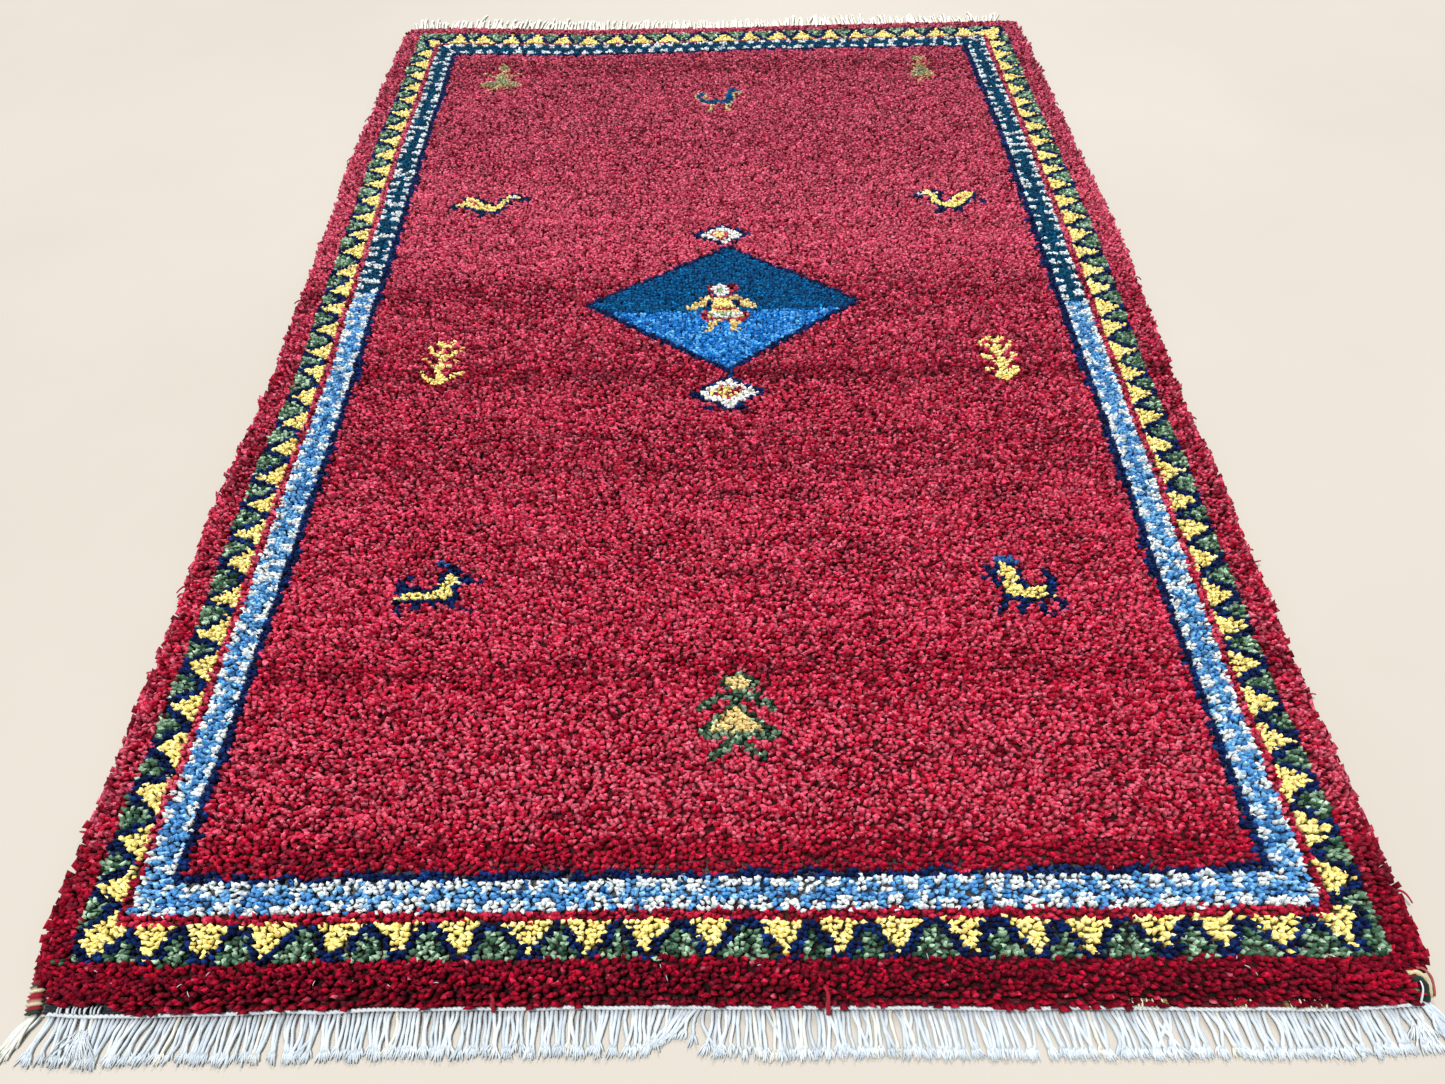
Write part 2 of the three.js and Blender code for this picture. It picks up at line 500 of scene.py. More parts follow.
def make_chart():
    v, u = np.mgrid[0:NY, 0:NX]
    u, v = u.ravel(), v.ravel()
    iu = np.minimum(u, NX - 1 - u)
    near = v < NY // 2
    iv = np.where(near, v, NY - 1 - v)
    step = np.arange(6.0)
    ru = np.interp(iu + 0.5, LAYERS["side"], step)
    rv = np.where(near, np.interp(iv + 0.5, LAYERS["near"], step), np.interp(iv + 0.5, LAYERS["far"], step))
    ru = np.where(iu >= LAYERS["side"][-1], 9.0, ru)
    rv = np.where(iv >= np.where(near, LAYERS["near"][-1], LAYERS["far"][-1]), 9.0, rv)
    ring = np.minimum(ru, rv)
    side = ru < rv
    chart = np.full(u.shape, CODE["R"])
    _, y = place(u + 0.5, v + 0.5)
    x, _ = place(u + 0.5, v + 0.5)
    left = u < NX // 2
    blue_of = np.full(u.shape, CODE["B"])
    blue_of[(left & (y > 50)) | (~left & (y > 18))] = CODE["P"]
    k = LAYERS["side"]
    for name, mask, s, deep_at in (
        ("left", side & left, v, k), ("right", side & ~left, v, k),
        ("near", ~side & near, u, LAYERS["near"]), ("far", ~side & ~near, u, LAYERS["far"]),
    ):
        i = np.where(side, iu, iv)
        along_side = name in ("left", "right")
        low = LAYERS["near"][2] if along_side else k[2]
        high = (NY - LAYERS["far"][2]) if along_side else NX - k[2]
        seed = {"left": 11, "right": 23, "near": 37, "far": 53}[name]
        period = {"left": 10.45, "right": 10.15, "near": 11.7, "far": 11.2}[name]
        m = mask & (ring >= 1) & (ring < 2)
        deep = deep_at[2] - deep_at[1]
        start, stop = (low + 2.2, high - 5.4) if name == "near" else (low + 3, high - 3)
        chart[m] = sawtooth(s[m] + 0.5, (deep_at[2] - 1 - i[m]).astype(float), deep, teeth(start, stop, period, seed), seed, along_side)
        chart[mask & (ring >= 2) & (ring < 3)] = CODE["C"]
        m = mask & (ring >= 3) & (ring < 4)
        deep = deep_at[4] - deep_at[3]
        low = (LAYERS["near"][3] if along_side else k[3]) + 1
        high = ((NY - LAYERS["far"][3]) if along_side else NX - k[3]) - 1
        p = {"left": 4.5, "right": 4.6, "near": 5.2, "far": 5.6}[name]
        reach = {"left": 1.9, "right": 1.9, "near": 2.2, "far": 2.4}[name]
        wide = {"left": 1.45, "right": 1.45, "near": 1.95, "far": 1.6}[name]
        chart[m] = band(
            s[m] + 0.5, (i[m] - deep_at[3]).astype(float), deep, teeth(low, high, p, seed + 60), teeth(low + 2, high - 1, p, seed + 80),
            blue_of[m], reach, wide, seed, np.where(along_side & (blue_of[m] == CODE["P"]), 0.2, 0.0),
        )
        m = mask & (ring >= 4) & (ring < 5)
        chart[m] = CODE["N"]
    # The corners of the sawtooth: one broad tooth on the diagonal, that spreads along both inner lines.
    end_layers = [np.where(near, LAYERS["near"][i], LAYERS["far"][i]) for i in (1, 2)]
    a = (k[2] - iu) * 8.0 / (k[2] - k[1]) - 0.5
    b = (end_layers[1] - iv) * 8.0 / (end_layers[1] - end_layers[0]) - 0.5
    off, deep = np.abs(a - b) / 2, (a + b) / 2
    saw = (ring >= 1) & (ring < 2) & (a > -5) & (b > -5)
    tip = np.where(left, np.where(near, 5.4, 3.2), 5.9)
    wide = np.where(left, np.where(near, 2.1 - 0.06 * deep, 1.5 - 0.2 * deep), 2.9 - 0.36 * deep) + 0.25 * wave(v, 9)
    tooth = saw & (off < wide) & (deep < tip) & (deep > -1.5)
    hem = saw & (off < wide + 1.4) & (deep < tip + 1.2)
    # the near right one points down, and has a short arm along the side
    right_near = ~left & near
    steep, thick = np.abs(a - 0.5 * b + 1.5), 2.9 - 0.36 * b + 0.25 * wave(v, 9)
    arm = (b > -1.6) & (b < 1.2) & (a > -2) & (a < 4.4)
    tooth = np.where(right_near, saw & (((steep < thick) & (b < 6.3) & (b > -1.6)) | arm), tooth)
    hem = np.where(right_near, saw & (((steep < thick + 1.5) & (b < 7.3)) | ((b > -2) & (b < 2.6) & (a < 6.0))), hem)
    green = saw & ~hem & ~tooth & (np.minimum(a, b) > 0)
    chart[green] = CODE["G"]
    chart[hem] = CODE["N"]
    chart[tooth] = CODE["Y"]
    # A row of green that runs out to the near left edge, and the navy line one knot thicker in places.
    chart[(v == 8) & (u < 9) & (u > 3)] = CODE["G"]
    inner = (ru >= 9) & (rv >= 9)
    edge = inner & ((iv == LAYERS["near"][-1]) & near | (iv == LAYERS["far"][-1]) & ~near)
    chart[edge & (wave(np.floor(u / 3.0), 5) > 0.1)] = CODE["N"]
    edge = inner & (iu == LAYERS["side"][-1])
    chart[edge & (wave(np.floor(v / 2.0), 7) > 0.55)] = CODE["N"]
    # The lozenge in the middle.
    wobble = 1.3 * wave(v, 3)
    up = y > np.interp(x, (-148, 170), (18, 23))
    xl = np.where(up, np.interp(y, (18, 138), (-155, 17)), np.interp(y, (-105, 18), (15, -155))) + wobble
    xr = np.where(up, np.interp(y, (23, 138), (174, 17)), np.interp(y, (-105, 23), (15, 174))) - wobble
    inside = (x > xl) & (x < xr) & (y > -106) & (y < 139)
    line = np.where(up, 9.5, 11.5)
    chart[inside] = np.where(y > 3 + (x + 148) * 0.022, CODE["D"], CODE["M"])[inside]
    chart[inside & ((x < xl + line) | (x > xr - line))] = CODE["N"]
    chart[(np.abs(x - 15) < 4.2) & (y > -118) & (y < -100)] = CODE["N"]
    chart = chart.reshape(NY, NX)
    horn = np.zeros((NY, NX), bool)
    for text, cx, cy in FIGURES:
        rows = text.split()
        tall, wide = len(rows), max(map(len, rows))
        cu, cv = knot_of(cx, cy)
        u0, v1 = round(cu - wide / 2), round(cv + tall / 2) - 1
        for r, line_ in enumerate(rows):
            for c, ch in enumerate(line_):
                if ch == ".":
                    continue
                chart[v1 - r, u0 + c] = CODE["N" if ch == "b" else ch]
                if ch == "b":
                    horn[v1 - r, u0 + c] = True
    return chart, horn


CHART, HORN = make_chart()


# ---------------------------------------------------------------- colours
def linear(rgb):
    c = np.asarray(rgb, float) / 255
    return np.where(c <= 0.04045, c / 12.92, ((c + 0.055) / 1.055) ** 2.4)


WOOLS = {  # dark, middle and light yarn of each colour
    "R": ((98, 2, 25), (172, 7, 42), (214, 58, 92)),
    "C": ((104, 6, 28), (168, 20, 50), (212, 62, 90)),
    "N": ((2, 8, 34), (6, 24, 66), (20, 54, 118)),
    "B": ((32, 84, 146), (78, 140, 196), (144, 194, 228)),
    "P": ((0, 34, 56), (0, 60, 90), (4, 92, 130)),
    "I": ((170, 168, 164), (232, 230, 224), (255, 255, 252)),
    "Y": ((206, 170, 78), (250, 228, 134), (255, 248, 190)),
    "G": ((20, 48, 38), (76, 108, 84), (160, 190, 160)),
    "D": ((0, 40, 76), (0, 70, 118), (0, 112, 170)),
    "M": ((8, 66, 132), (24, 116, 196), (104, 182, 242)),
    "O": ((170, 140, 88), (228, 204, 144), (250, 234, 190)),
    "L": ((84, 116, 84), (146, 178, 134), (196, 218, 180)),
    "T": ((170, 136, 80), (224, 194, 124), (248, 228, 172)),
    "W": ((140, 166, 188), (214, 221, 222), (250, 252, 250)),
}
PALETTE = np.array([[linear(s) for s in WOOLS[c]] for c in LETTERS])
# pale pink of the pale fibres, and of the glints painted on the tips
PINK_FIBRE_AND_GLINT = linear((238, 112, 136))

# Abrash: the dye lots of the red, from the near end to the back one: y in mm, how light, how much pale pink shows at
# the tips, as pale fibre and as painted glints.
ABRASH = [
    (-770, -0.7, 0.005), (-652, -0.62, 0.01), (-640, -0.32, 0.26), (-600, -0.34, 0.34), (-545, -0.2, 0.28), (-516, -0.2, 0.2),
    (-510, -0.38, 0.12), (-486, -0.3, 0.14), (-478, -0.02, 0.22), (-380, -0.08, 0.22), (-262, -0.12, 0.22), (-250, -0.46, 0.14), (-205, -0.36, 0.16),
    (-190, -0.12, 0.2), (-120, -0.2, 0.18), (-108, -0.66, 0.04), (-96, -0.66, 0.04), (-84, -0.18, 0.18), (0, -0.2, 0.22), (30, -0.44, 0.14),
    (52, -0.6, 0.12), (75, -0.04, 0.3), (120, 0.08, 0.42), (275, 0.04, 0.42), (330, -0.24, 0.34), (480, -0.2, 0.36),
    (590, -0.2, 0.34), (605, -0.56, 0.18), (628, -0.5, 0.2), (650, -0.1, 0.34), (780, -0.2, 0.3),
]
CONTRAST = np.array([{"G": 1.9, "B": 1.3, "N": 1.2, "M": 1.3, "Y": 0.7, "I": 0.6, "W": 0.5, "P": 0.8}.get(c, 1.0) for c in LETTERS])


def yarn(u, v, code, rng):
    """Colour of each knot's yarn, and how often its tips turn pale pink, as pale fibre and as painted glints."""
    x, y = place(u, v)
    light = along(ABRASH, y + 4 * lattice(u, v, 60, 9, 41), 1)
    pale = along(ABRASH, y, 2)
    away = np.interp(y, (-640, -300, 200, 750), (0.0, 0.45, 0.8, 1.0))
    # the contrast from tuft to tuft grows towards the back end (away): painted highlight and shade of the grazing light
    # there
    streak = (0.3 + 0.35 * away) * lattice(u, v, 2.6, 1.1, 45) + (0.42 + 0.2 * away) * lattice(u, v, 46, 1.25, 42) + (0.26 + 0.2 * away) * lattice(u, v, 9, 1.0, 43) + 0.12 * lattice(u, v, 90, 7, 44)
    red = (code == CODE["R"]) | (code == CODE["C"])
    t = np.where(red, light + streak, 0.2 * streak) + rng.normal(0, 0.4, len(u)) * CONTRAST[code] * np.where(red, 1 + 1.2 * away, 0.9)
    guard = (np.minimum(u, NX - u) < LAYERS["side"][1]) | (np.minimum(v, NY - v) < 7)
    t = np.clip(t - np.where(guard & red, 0.1 + 0.3 * np.clip((v - 20) / 40, 0, 1) - 0.55 * np.clip((v - 120) / 150, 0, 1), 0.0), -1, 1)
    t = t + np.where(code == CODE["G"], 0.3 * away, 0.0)
    t = np.clip(t, -1, 1)
    p = PALETTE[code]
    down, up = np.clip(-t, 0, 1)[:, None], np.clip(t, 0, 1)[:, None]
    tone = p[:, 1] * (1 - down - up) + p[:, 0] * down + p[:, 2] * up
    # painted shade and sheen: the red is darker and duller towards the back end, the look of the grazing light there
    far_painted_shade = 1 - away[:, None] ** 2 * np.where(red[:, None], (0.55, 0.26, 0.3), (0.06, 0.05, 0.05))
    tone = tone * far_painted_shade
    # the green of the near figure is darker
    deep = (code == CODE["G"]) & (np.abs(x - 17) < 70) & (y < -460) & (y > -620)
    tone[deep] = tone[deep] * 0.66
    # the two small green figures at the back end are faded into the red
    faded = ((code == CODE["O"]) | (code == CODE["L"])) & (y > 450)
    tone[faded] = tone[faded] * (0.5, 0.55, 0.5) + PALETTE[CODE["R"]][1] * 0.22
    return tone, pale, red, away


# ---------------------------------------------------------------- mesh helpers
def make_mesh(name, verts, tris, colours=None, uvs=None, material=None, smooth=True):
    """verts in millimetres, tris as an array of vertex numbers, uvs for each corner."""
    me = bpy.data.meshes.new(name)
    verts = np.ascontiguousarray(np.asarray(verts, np.float32) * MM)
    tris = np.ascontiguousarray(np.asarray(tris, np.int32))
    me.vertices.add(len(verts))
    me.vertices.foreach_set("co", verts.ravel())
    me.loops.add(tris.size)
    me.loops.foreach_set("vertex_index", tris.ravel())
    me.polygons.add(len(tris))
    me.polygons.foreach_set("loop_start", np.arange(0, tris.size, 3, dtype=np.int32))
    if smooth:
        me.polygons.foreach_set("use_smooth", np.ones(len(tris), bool))
    me.update(calc_edges=True)
    if colours is not None:
        layer = me.color_attributes.new(name="yarn", type="FLOAT_COLOR", domain="POINT")
        rgba = np.ones((len(verts), 4), np.float32)
        rgba[:, :3] = colours
        layer.data.foreach_set("color", rgba.ravel())
    if uvs is not None:
        layer = me.uv_layers.new(name="OFBake")
        layer.uv.foreach_set("vector", np.ascontiguousarray(uvs, dtype=np.float32).ravel())
    me.validate()
    ob = bpy.data.objects.new(name, me)
    bpy.context.scene.collection.objects.link(ob)
    if material is not None:
        me.materials.append(material)
    return ob


# ---------------------------------------------------------------- materials
def new_material(name):
    mat = bpy.data.materials.new(name)
    mat.use_nodes = True
    tree = mat.node_tree
    tree.nodes.clear()
    out = tree.nodes.new("ShaderNodeOutputMaterial")
    skin = tree.nodes.new("ShaderNodeBsdfPrincipled")
    tree.links.new(skin.outputs["BSDF"], out.inputs["Surface"])
    return mat, tree, skin


def colour_inputs(node):
    """The colour sockets of a Mix node, which share their names with the number ones."""
    return [s for s in node.inputs if s.type == "RGBA"]


def blend_rgb(tree, kind, factor, a, b):
    node = tree.nodes.new("ShaderNodeMix")
    node.data_type = "RGBA"
    node.blend_type = kind
    fac = [s for s in node.inputs if s.type == "VALUE" and s.name == "Factor"][0]
    ca, cb = colour_inputs(node)[:2]
    for socket, value in ((fac, factor), (ca, a), (cb, b)):
        if hasattr(value, "is_linked"):
            tree.links.new(value, socket)
        else:
            socket.default_value = value
    return [s for s in node.outputs if s.type == "RGBA"][0]


def noise(tree, where, scale, detail=3.0, rough=0.55):
    n = tree.nodes.new("ShaderNodeTexNoise")
    n.inputs["Scale"].default_value = scale
    n.inputs["Detail"].default_value = detail
    n.inputs["Roughness"].default_value = rough
    tree.links.new(where, n.inputs["Vector"])
    return n.outputs["Fac"]


def ramp(tree, fac, stops):
    r = tree.nodes.new("ShaderNodeValToRGB")
    while len(r.color_ramp.elements) < len(stops):
        r.color_ramp.elements.new(0.5)
    for e, (at, col) in zip(r.color_ramp.elements, stops):
        e.position, e.color = at, (*col, 1.0)
    tree.links.new(fac, r.inputs["Fac"])
    return r.outputs["Color"]


def bump(tree, height, skin, strength, distance, after=None):
    b = tree.nodes.new("ShaderNodeBump")
    b.inputs["Strength"].default_value = strength
    b.inputs["Distance"].default_value = distance
    tree.links.new(height, b.inputs["Height"])
    if after is not None:
        tree.links.new(after, b.inputs["Normal"])
    if skin is not None:
        tree.links.new(b.outputs["Normal"], skin.inputs["Normal"])
    return b.outputs["Normal"]


def yarn_material(name, sheen, tint, rough, fine=1500.0, strength=0.5, spread=(0.72, 1.22), spec=0.25, ply_light_and_shade=None, rows=False):
    """Wool or cotton that takes its colour from the yarn attribute."""
    mat, tree, skin = new_material(name)
    where = tree.nodes.new("ShaderNodeTexCoord").outputs["Object"]
    col = tree.nodes.new("ShaderNodeAttribute")
    col.attribute_name = "yarn"
    fibre = noise(tree, where, fine, 2.0, 0.6)
    shade = ramp(tree, fibre, [(0.3, (spread[0],) * 3), (0.7, (spread[1],) * 3)])
    base = blend_rgb(tree, "MULTIPLY", 1.0, col.outputs["Color"], shade)
    height = noise(tree, where, fine * 0.75, 2.0, 0.65)
    if ply_light_and_shade is not None:
        drawn = tree.nodes.new("ShaderNodeMapping")
        drawn.inputs["Scale"].default_value = (0.8, 1.12, 1.0)
        tree.links.new(where, drawn.inputs["Vector"])
        lumps = noise(tree, drawn.outputs["Vector"], ply_light_and_shade[0], 1.5, 0.5)
        apart = tree.nodes.new("ShaderNodeSeparateXYZ")
        tree.links.new(where, apart.inputs["Vector"])
        amount = tree.nodes.new("ShaderNodeMapRange")
        for socket, value in zip(("From Min", "From Max", "To Min", "To Max"), (-0.7, -0.45, 0.4, 1.0)):
            amount.inputs[socket].default_value = value
        tree.links.new(apart.outputs["Y"], amount.inputs["Value"])
        # painted light at the ply scale: where the lumps rise the colour is brightened as glints, in the hollows
        # darkened as shade; weaker at the near end
        painted_ply_light = ramp(tree, lumps, [(0.36, (ply_light_and_shade[1],) * 3), (0.5, (0.9,) * 3), (0.6, (1.15,) * 3), (0.7, (ply_light_and_shade[2],) * 3)])
        base = blend_rgb(tree, "MULTIPLY", amount.outputs["Result"], base, painted_ply_light)
    tree.links.new(base, skin.inputs["Base Color"])
    skin.inputs["Roughness"].default_value = rough
    skin.inputs["Specular IOR Level"].default_value = spec
    skin.inputs["Sheen Weight"].default_value = sheen
    skin.inputs["Sheen Roughness"].default_value = 0.45
    skin.inputs["Sheen Tint"].default_value = (*tint, 1.0)
    if ply_light_and_shade is not None:
        rough_skin = bump(tree, lumps, None, 0.8, 0.0022)
        bump(tree, height, skin, strength, 0.0006, after=rough_skin)
    elif rows:
        ribs = []
        for way, scale in (("X", 96.0), ("Y", 104.0)):
            wave_ = tree.nodes.new("ShaderNodeTexWave")
            wave_.wave_type, wave_.bands_direction, wave_.wave_profile = "BANDS", way, "SIN"
            for socket, value in (("Scale", scale), ("Distortion", 1.2), ("Detail", 1.0), ("Detail Scale", 0.4)):
                wave_.inputs[socket].default_value = value
            tree.links.new(where, wave_.inputs["Vector"])
            ribs.append(wave_.outputs["Fac"])
        knots = blend_rgb(tree, "MULTIPLY", 1.0, ribs[0], ribs[1])
        # painted shade in the grooves between the knot backs
        gaps = ramp(tree, knots, [(0.02, (0.45,) * 3), (0.3, (1.0,) * 3)])
        base = blend_rgb(tree, "MULTIPLY", 1.0, base, gaps)
        tree.links.new(base, skin.inputs["Base Color"])
        ridges = bump(tree, knots, None, 0.6, 0.0015)
        bump(tree, height, skin, strength, 0.0006, after=ridges)
    else:
        bump(tree, height, skin, strength, 0.0006)
    return mat


WOOL = yarn_material("pile_wool", 0.02, (1.0, 0.78, 0.82), 0.55, spread=(0.82, 1.12), spec=0.05, ply_light_and_shade=(450.0, 0.42, 2.1))
BACK = yarn_material("knot_backs", 0.05, (1.0, 0.9, 0.9), 0.9, fine=900.0, rows=True)
COTTON = yarn_material("cotton_yarn", 0.1, (0.95, 0.97, 1.0), 0.8, fine=1900.0, strength=0.3, spread=(0.92, 1.04))
WRAP = yarn_material("selvedge_yarn", 0.1, (1.0, 0.92, 0.9), 0.85, fine=1300.0, strength=0.6)


# ---------------------------------------------------------------- pile
ROOT_Z, TIP_Z = 9.3, 14.5
STRIPS = 5
FOLDS = 3


def pile_strip(number, first, last):
    rng = np.random.default_rng(100 + number)
    uu, vv = np.meshgrid(np.arange(first, last), np.arange(NY))
    uu, vv = uu.ravel(), vv.ravel()
    n = len(uu)
    code = CHART[vv, uu]
    plain = (code == CODE["R"]) | (code == CODE["C"])
    calm = np.where(plain, 1.0, np.interp(vv, (40, 200), (0.85, 0.55)))
    u = uu + 0.5 + 0.22 * lattice(vv, uu, 6, 25, 61) + rng.normal(0, 0.27, n) * calm
    v = vv + 0.5 + 0.3 * lattice(uu, vv, 8, 30, 62) + rng.normal(0, 1, n) * np.interp(vv, (6, 9, 30, 60), (0.36, 0.27, 0.24, 0.2)) * calm
    x, y = place(u, v)
    xs = x
    tone, pale, red, distant = yarn(uu + 0.5, vv + 0.5, code, rng)
    horn = HORN[vv, uu]
    tone[horn] = tone[horn] * 0.4 + linear((70, 120, 190)) * 0.6
    # the worn and shaded outer tufts near the front
    outer = np.minimum(np.minimum(uu, NX - 1 - uu), vv)
    tone = tone * (1 - 0.3 * np.clip((3.5 - outer) / 3, 0, 1) * np.clip((90 - vv) / 40, 0, 1))[:, None]

    # Lean: the pile falls towards the near end, and each tuft has its own way.
    lean = rng.normal(0, 1.1, (n, 2)) * calm[:, None]
    lean[:, 0] += 0.6 * lattice(u, v, 14, 11, 63)
    lean[:, 1] += -0.7 + 0.8 * lattice(u, v, 17, 13, 64)
    tall = TIP_Z + 0.45 * lattice(u, v, 26, 20, 65) + rng.normal(0, 0.55, n)
    from_edge = np.minimum(np.minimum(uu, NX - 1 - uu), np.minimum(vv, NY - 1 - vv))
    root = np.interp(from_edge, (0, 1, 2, 3), (2.6, 6.2, 8.2, ROOT_Z))
    big = rng.uniform(0.86, 1.18, n)

    # The outermost tufts lean out over the cords, in ragged clumps.
    for away, axis, sign, other in (
        (uu, 0, -1, vv), (NX - 1 - uu, 0, 1, vv), (vv, 1, -1, uu), (NY - 1 - vv, 1, 1, uu),
    ):
        for ring, push in ((0, 1.3), (1, 1.0), (2, 0.6)):
            m = away == ring
            k = int(m.sum())
            if not k:
                continue
            clump = lattice(other[m], other[m] * 0 + ring, 3.1, 2.0, 70 + 2 * axis + sign)
            far = push + 1.4 * clump * (1.0, 0.6, 0.3)[ring] + np.abs(rng.normal(0, 0.7, k)) * (1.0, 0.6, 0.4)[ring]
            stray = rng.random(k) < (0.05 if ring == 0 else 0.02)
            far = far + stray * rng.uniform(1.0, 3.2, k)
            if axis == 1:
                far = far + ((1.9, 0.8, 0.2)[ring] if sign < 0 else 1.4) - 1.9 * (xs[m] < -424) * (sign < 0)
            else:
                # flat by the worn near corners, and shaggier towards the back
                far = far * np.clip((vv[m] - 3) / 4, 0, 1) * (0.4 + 0.6 * np.clip(vv[m] / 160, 0, 1)) + (0.6 + (2.2 if sign < 0 else 3.6) * clump * (0.5, 0.35, 0.1)[ring] + (0.0 if sign < 0 else (1.2, 0.7, 0.2)[ring])) * vv[m] / NY
            lean[m, axis] = sign * far + 0.3 * lean[m, axis]
            lean[m, 1 - axis] += 1.5 * lattice(other[m], other[m] * 0, 2.2, 2.0, 80 + 2 * axis + sign) * (1.0, 0.7, 0.4)[ring]
            tall[m] -= (2.5, 1.0, 0.3)[ring] + 0.2 * np.abs(far) + (1.2 if axis == 1 and ring == 0 else 0.0)

    turn = rng.uniform(0, 2 * np.pi, n)
    wide_way = rng.normal(0, 0.42, n)
    for edge, facing in ((uu < 2, np.pi / 3), (NX - 1 - uu < 2, 0.0), (vv < 2, -np.pi / 2), (NY - 1 - vv < 2, np.pi / 2)):
        turn[edge] = facing + rng.normal(0, 0.22, int(edge.sum()))
        wide_way[edge] = rng.normal(0, 0.3, int(edge.sum())) + (np.pi / 2 if facing in (np.pi / 3, 0.0) else 0.0)
    long_ = rng.uniform(1.15, 1.75, n)
    rr = np.interp(vv, (24, 70), (2.5, 2.6)) * big
    rt = np.interp(vv, (24, 70), (1.8, 1.9)) * big * np.where(from_edge == 0, 1.3, np.where(from_edge == 1, 1.12, 1.0))
    ring_a = turn[:, None] + np.arange(3)[None, :] * (2 * np.pi / 3)
    ring_b = ring_a + np.pi / 3

    def shaped(angle, radius, stretch):
        ex, ey = np.cos(angle) * radius, np.sin(angle) * radius
        c, s = np.cos(wide_way)[:, None], np.sin(wide_way)[:, None]
        a, b = (ex * c + ey * s) * stretch, (-ex * s + ey * c) / np.sqrt(stretch)
        return a * c - b * s, a * s + b * c

    rx, ry = shaped(ring_a, rr[:, None], np.ones((n, 1)))
    tx, ty = shaped(ring_b, rt[:, None], long_[:, None])
    verts = np.empty((n, 6, 3))
    verts[:, :3, 0] = x[:, None] + rx
    verts[:, :3, 1] = y[:, None] + ry
    verts[:, :3, 2] = root[:, None]
    verts[:, 3:, 0] = x[:, None] + lean[:, 0:1] + tx
    verts[:, 3:, 1] = y[:, None] + lean[:, 1:2] + ty
    verts[:, 3:, 2] = tall[:, None] + rng.normal(0, 0.35, (n, 3))

    # Painted shade: the roots are darker, where shade falls down between the tufts. The tips differ from ply to ply,
    # and some of them are pale pink, as pale fibre and as painted glints.
    col = np.empty((n, 6, 3))
    col[:, :3] = (tone * np.where(red[:, None], (0.36, 0.26, 0.3), (0.2, 0.2, 0.2)))[:, None]
    # the tips' spread grows towards the back end (distant) as painted highlight and shade
    ply = 1.02 + rng.uniform(-0.24, 0.27, (n, 3, 1)) * (CONTRAST[code] * np.where(red, 0.85 + 0.8 * np.clip((vv - 8) / 20, 0, 1) + 1.5 * distant, 1.0)).clip(0, 3.4)[:, None, None]
    ply = np.maximum(ply, 0.46)
    # the brightest red plies are painted towards pink as glints
    over = np.where(red[:, None, None], np.clip(ply - 1.12, 0, 1), 0.0)
    col[:, 3:] = tone[:, None] * (ply - over) + PINK_FIBRE_AND_GLINT * over * 0.42
    # some plies turn pale pink: pale fibre, and painted glints
    pale_fibre_and_glint_ply = rng.random((n, 3)) < np.where(red, pale * 1.1, 0.0)[:, None]
    much = rng.uniform(0.25, 1.0, (n, 3, 1)) * pale_fibre_and_glint_ply[..., None]
    col[:, 3:] = col[:, 3:] * (1 - much) + PINK_FIBRE_AND_GLINT * much

    base = np.arange(n)[:, None, None] * 6
    pattern = np.array([[3, 4, 5], [0, 1, 3], [3, 1, 4], [1, 2, 4], [4, 2, 5], [2, 0, 5], [5, 0, 3]])
    tris = (base + pattern[None]).reshape(-1, 3)

    # The tufts of the near border have rounded tops: one more point in the middle of each, painted lighter as a
    # highlight.
    round_ones = np.flatnonzero(vv < 24)
    more = len(round_ones)
    top = verts[round_ones, 3:].mean(1) + np.stack([rng.normal(0, 0.25, more), rng.normal(0, 0.25, more), rng.uniform(0.5, 1.1, more)], 1)
    crown_highlight = col[round_ones, 3:].mean(1) * rng.uniform(1.0, 1.3, (more, 1))
    a, b, c = (round_ones * 6 + i for i in (3, 4, 5))
    d = n * 6 + np.arange(more)
    tris[round_ones * 7] = np.stack([a, b, d], 1)
    tris = np.concatenate([tris, np.stack([b, c, d], 1), np.stack([c, a, d], 1)])

    # A cell of the bake map for each tuft, with its tip in the middle.
    wide = -(-NX // STRIPS)
    rows = -(-NY // FOLDS)
    ca = np.arange(3) * (2 * np.pi / 3)
    cell = np.empty((6, 2))
    cell[:3, 0], cell[:3, 1] = 0.5 + 0.47 * np.cos(ca), 0.5 + 0.47 * np.sin(ca)
    cell[3:, 0], cell[3:, 1] = 0.5 + 0.24 * np.cos(ca + np.pi / 3), 0.5 + 0.24 * np.sin(ca + np.pi / 3)
    uv = np.empty((n, 6, 2))
    uv[..., 0] = (((vv // rows) * wide + (uu - first))[:, None] + cell[None, :, 0]) / (FOLDS * wide)
    uv[..., 1] = ((vv % rows)[:, None] + cell[None, :, 1]) / rows
    middles = np.stack([uv[round_ones, 3:, 0].mean(1), uv[round_ones, 3:, 1].mean(1)], 1)
    uvs = np.concatenate([uv.reshape(-1, 2), middles])[tris.ravel()]
    ob = make_mesh(f"pile_{number}", np.concatenate([verts.reshape(-1, 3), top]), tris, np.concatenate([col.reshape(-1, 3), crown_highlight]), uvs, WOOL)
    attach(ob, "root")
    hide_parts("rug_pile")
    return ob


cuts = [round(i * -(-NX // STRIPS)) for i in range(STRIPS)] + [NX]
PILE = [pile_strip(i + 1, cuts[i], cuts[i + 1]) for i in range(STRIPS)]


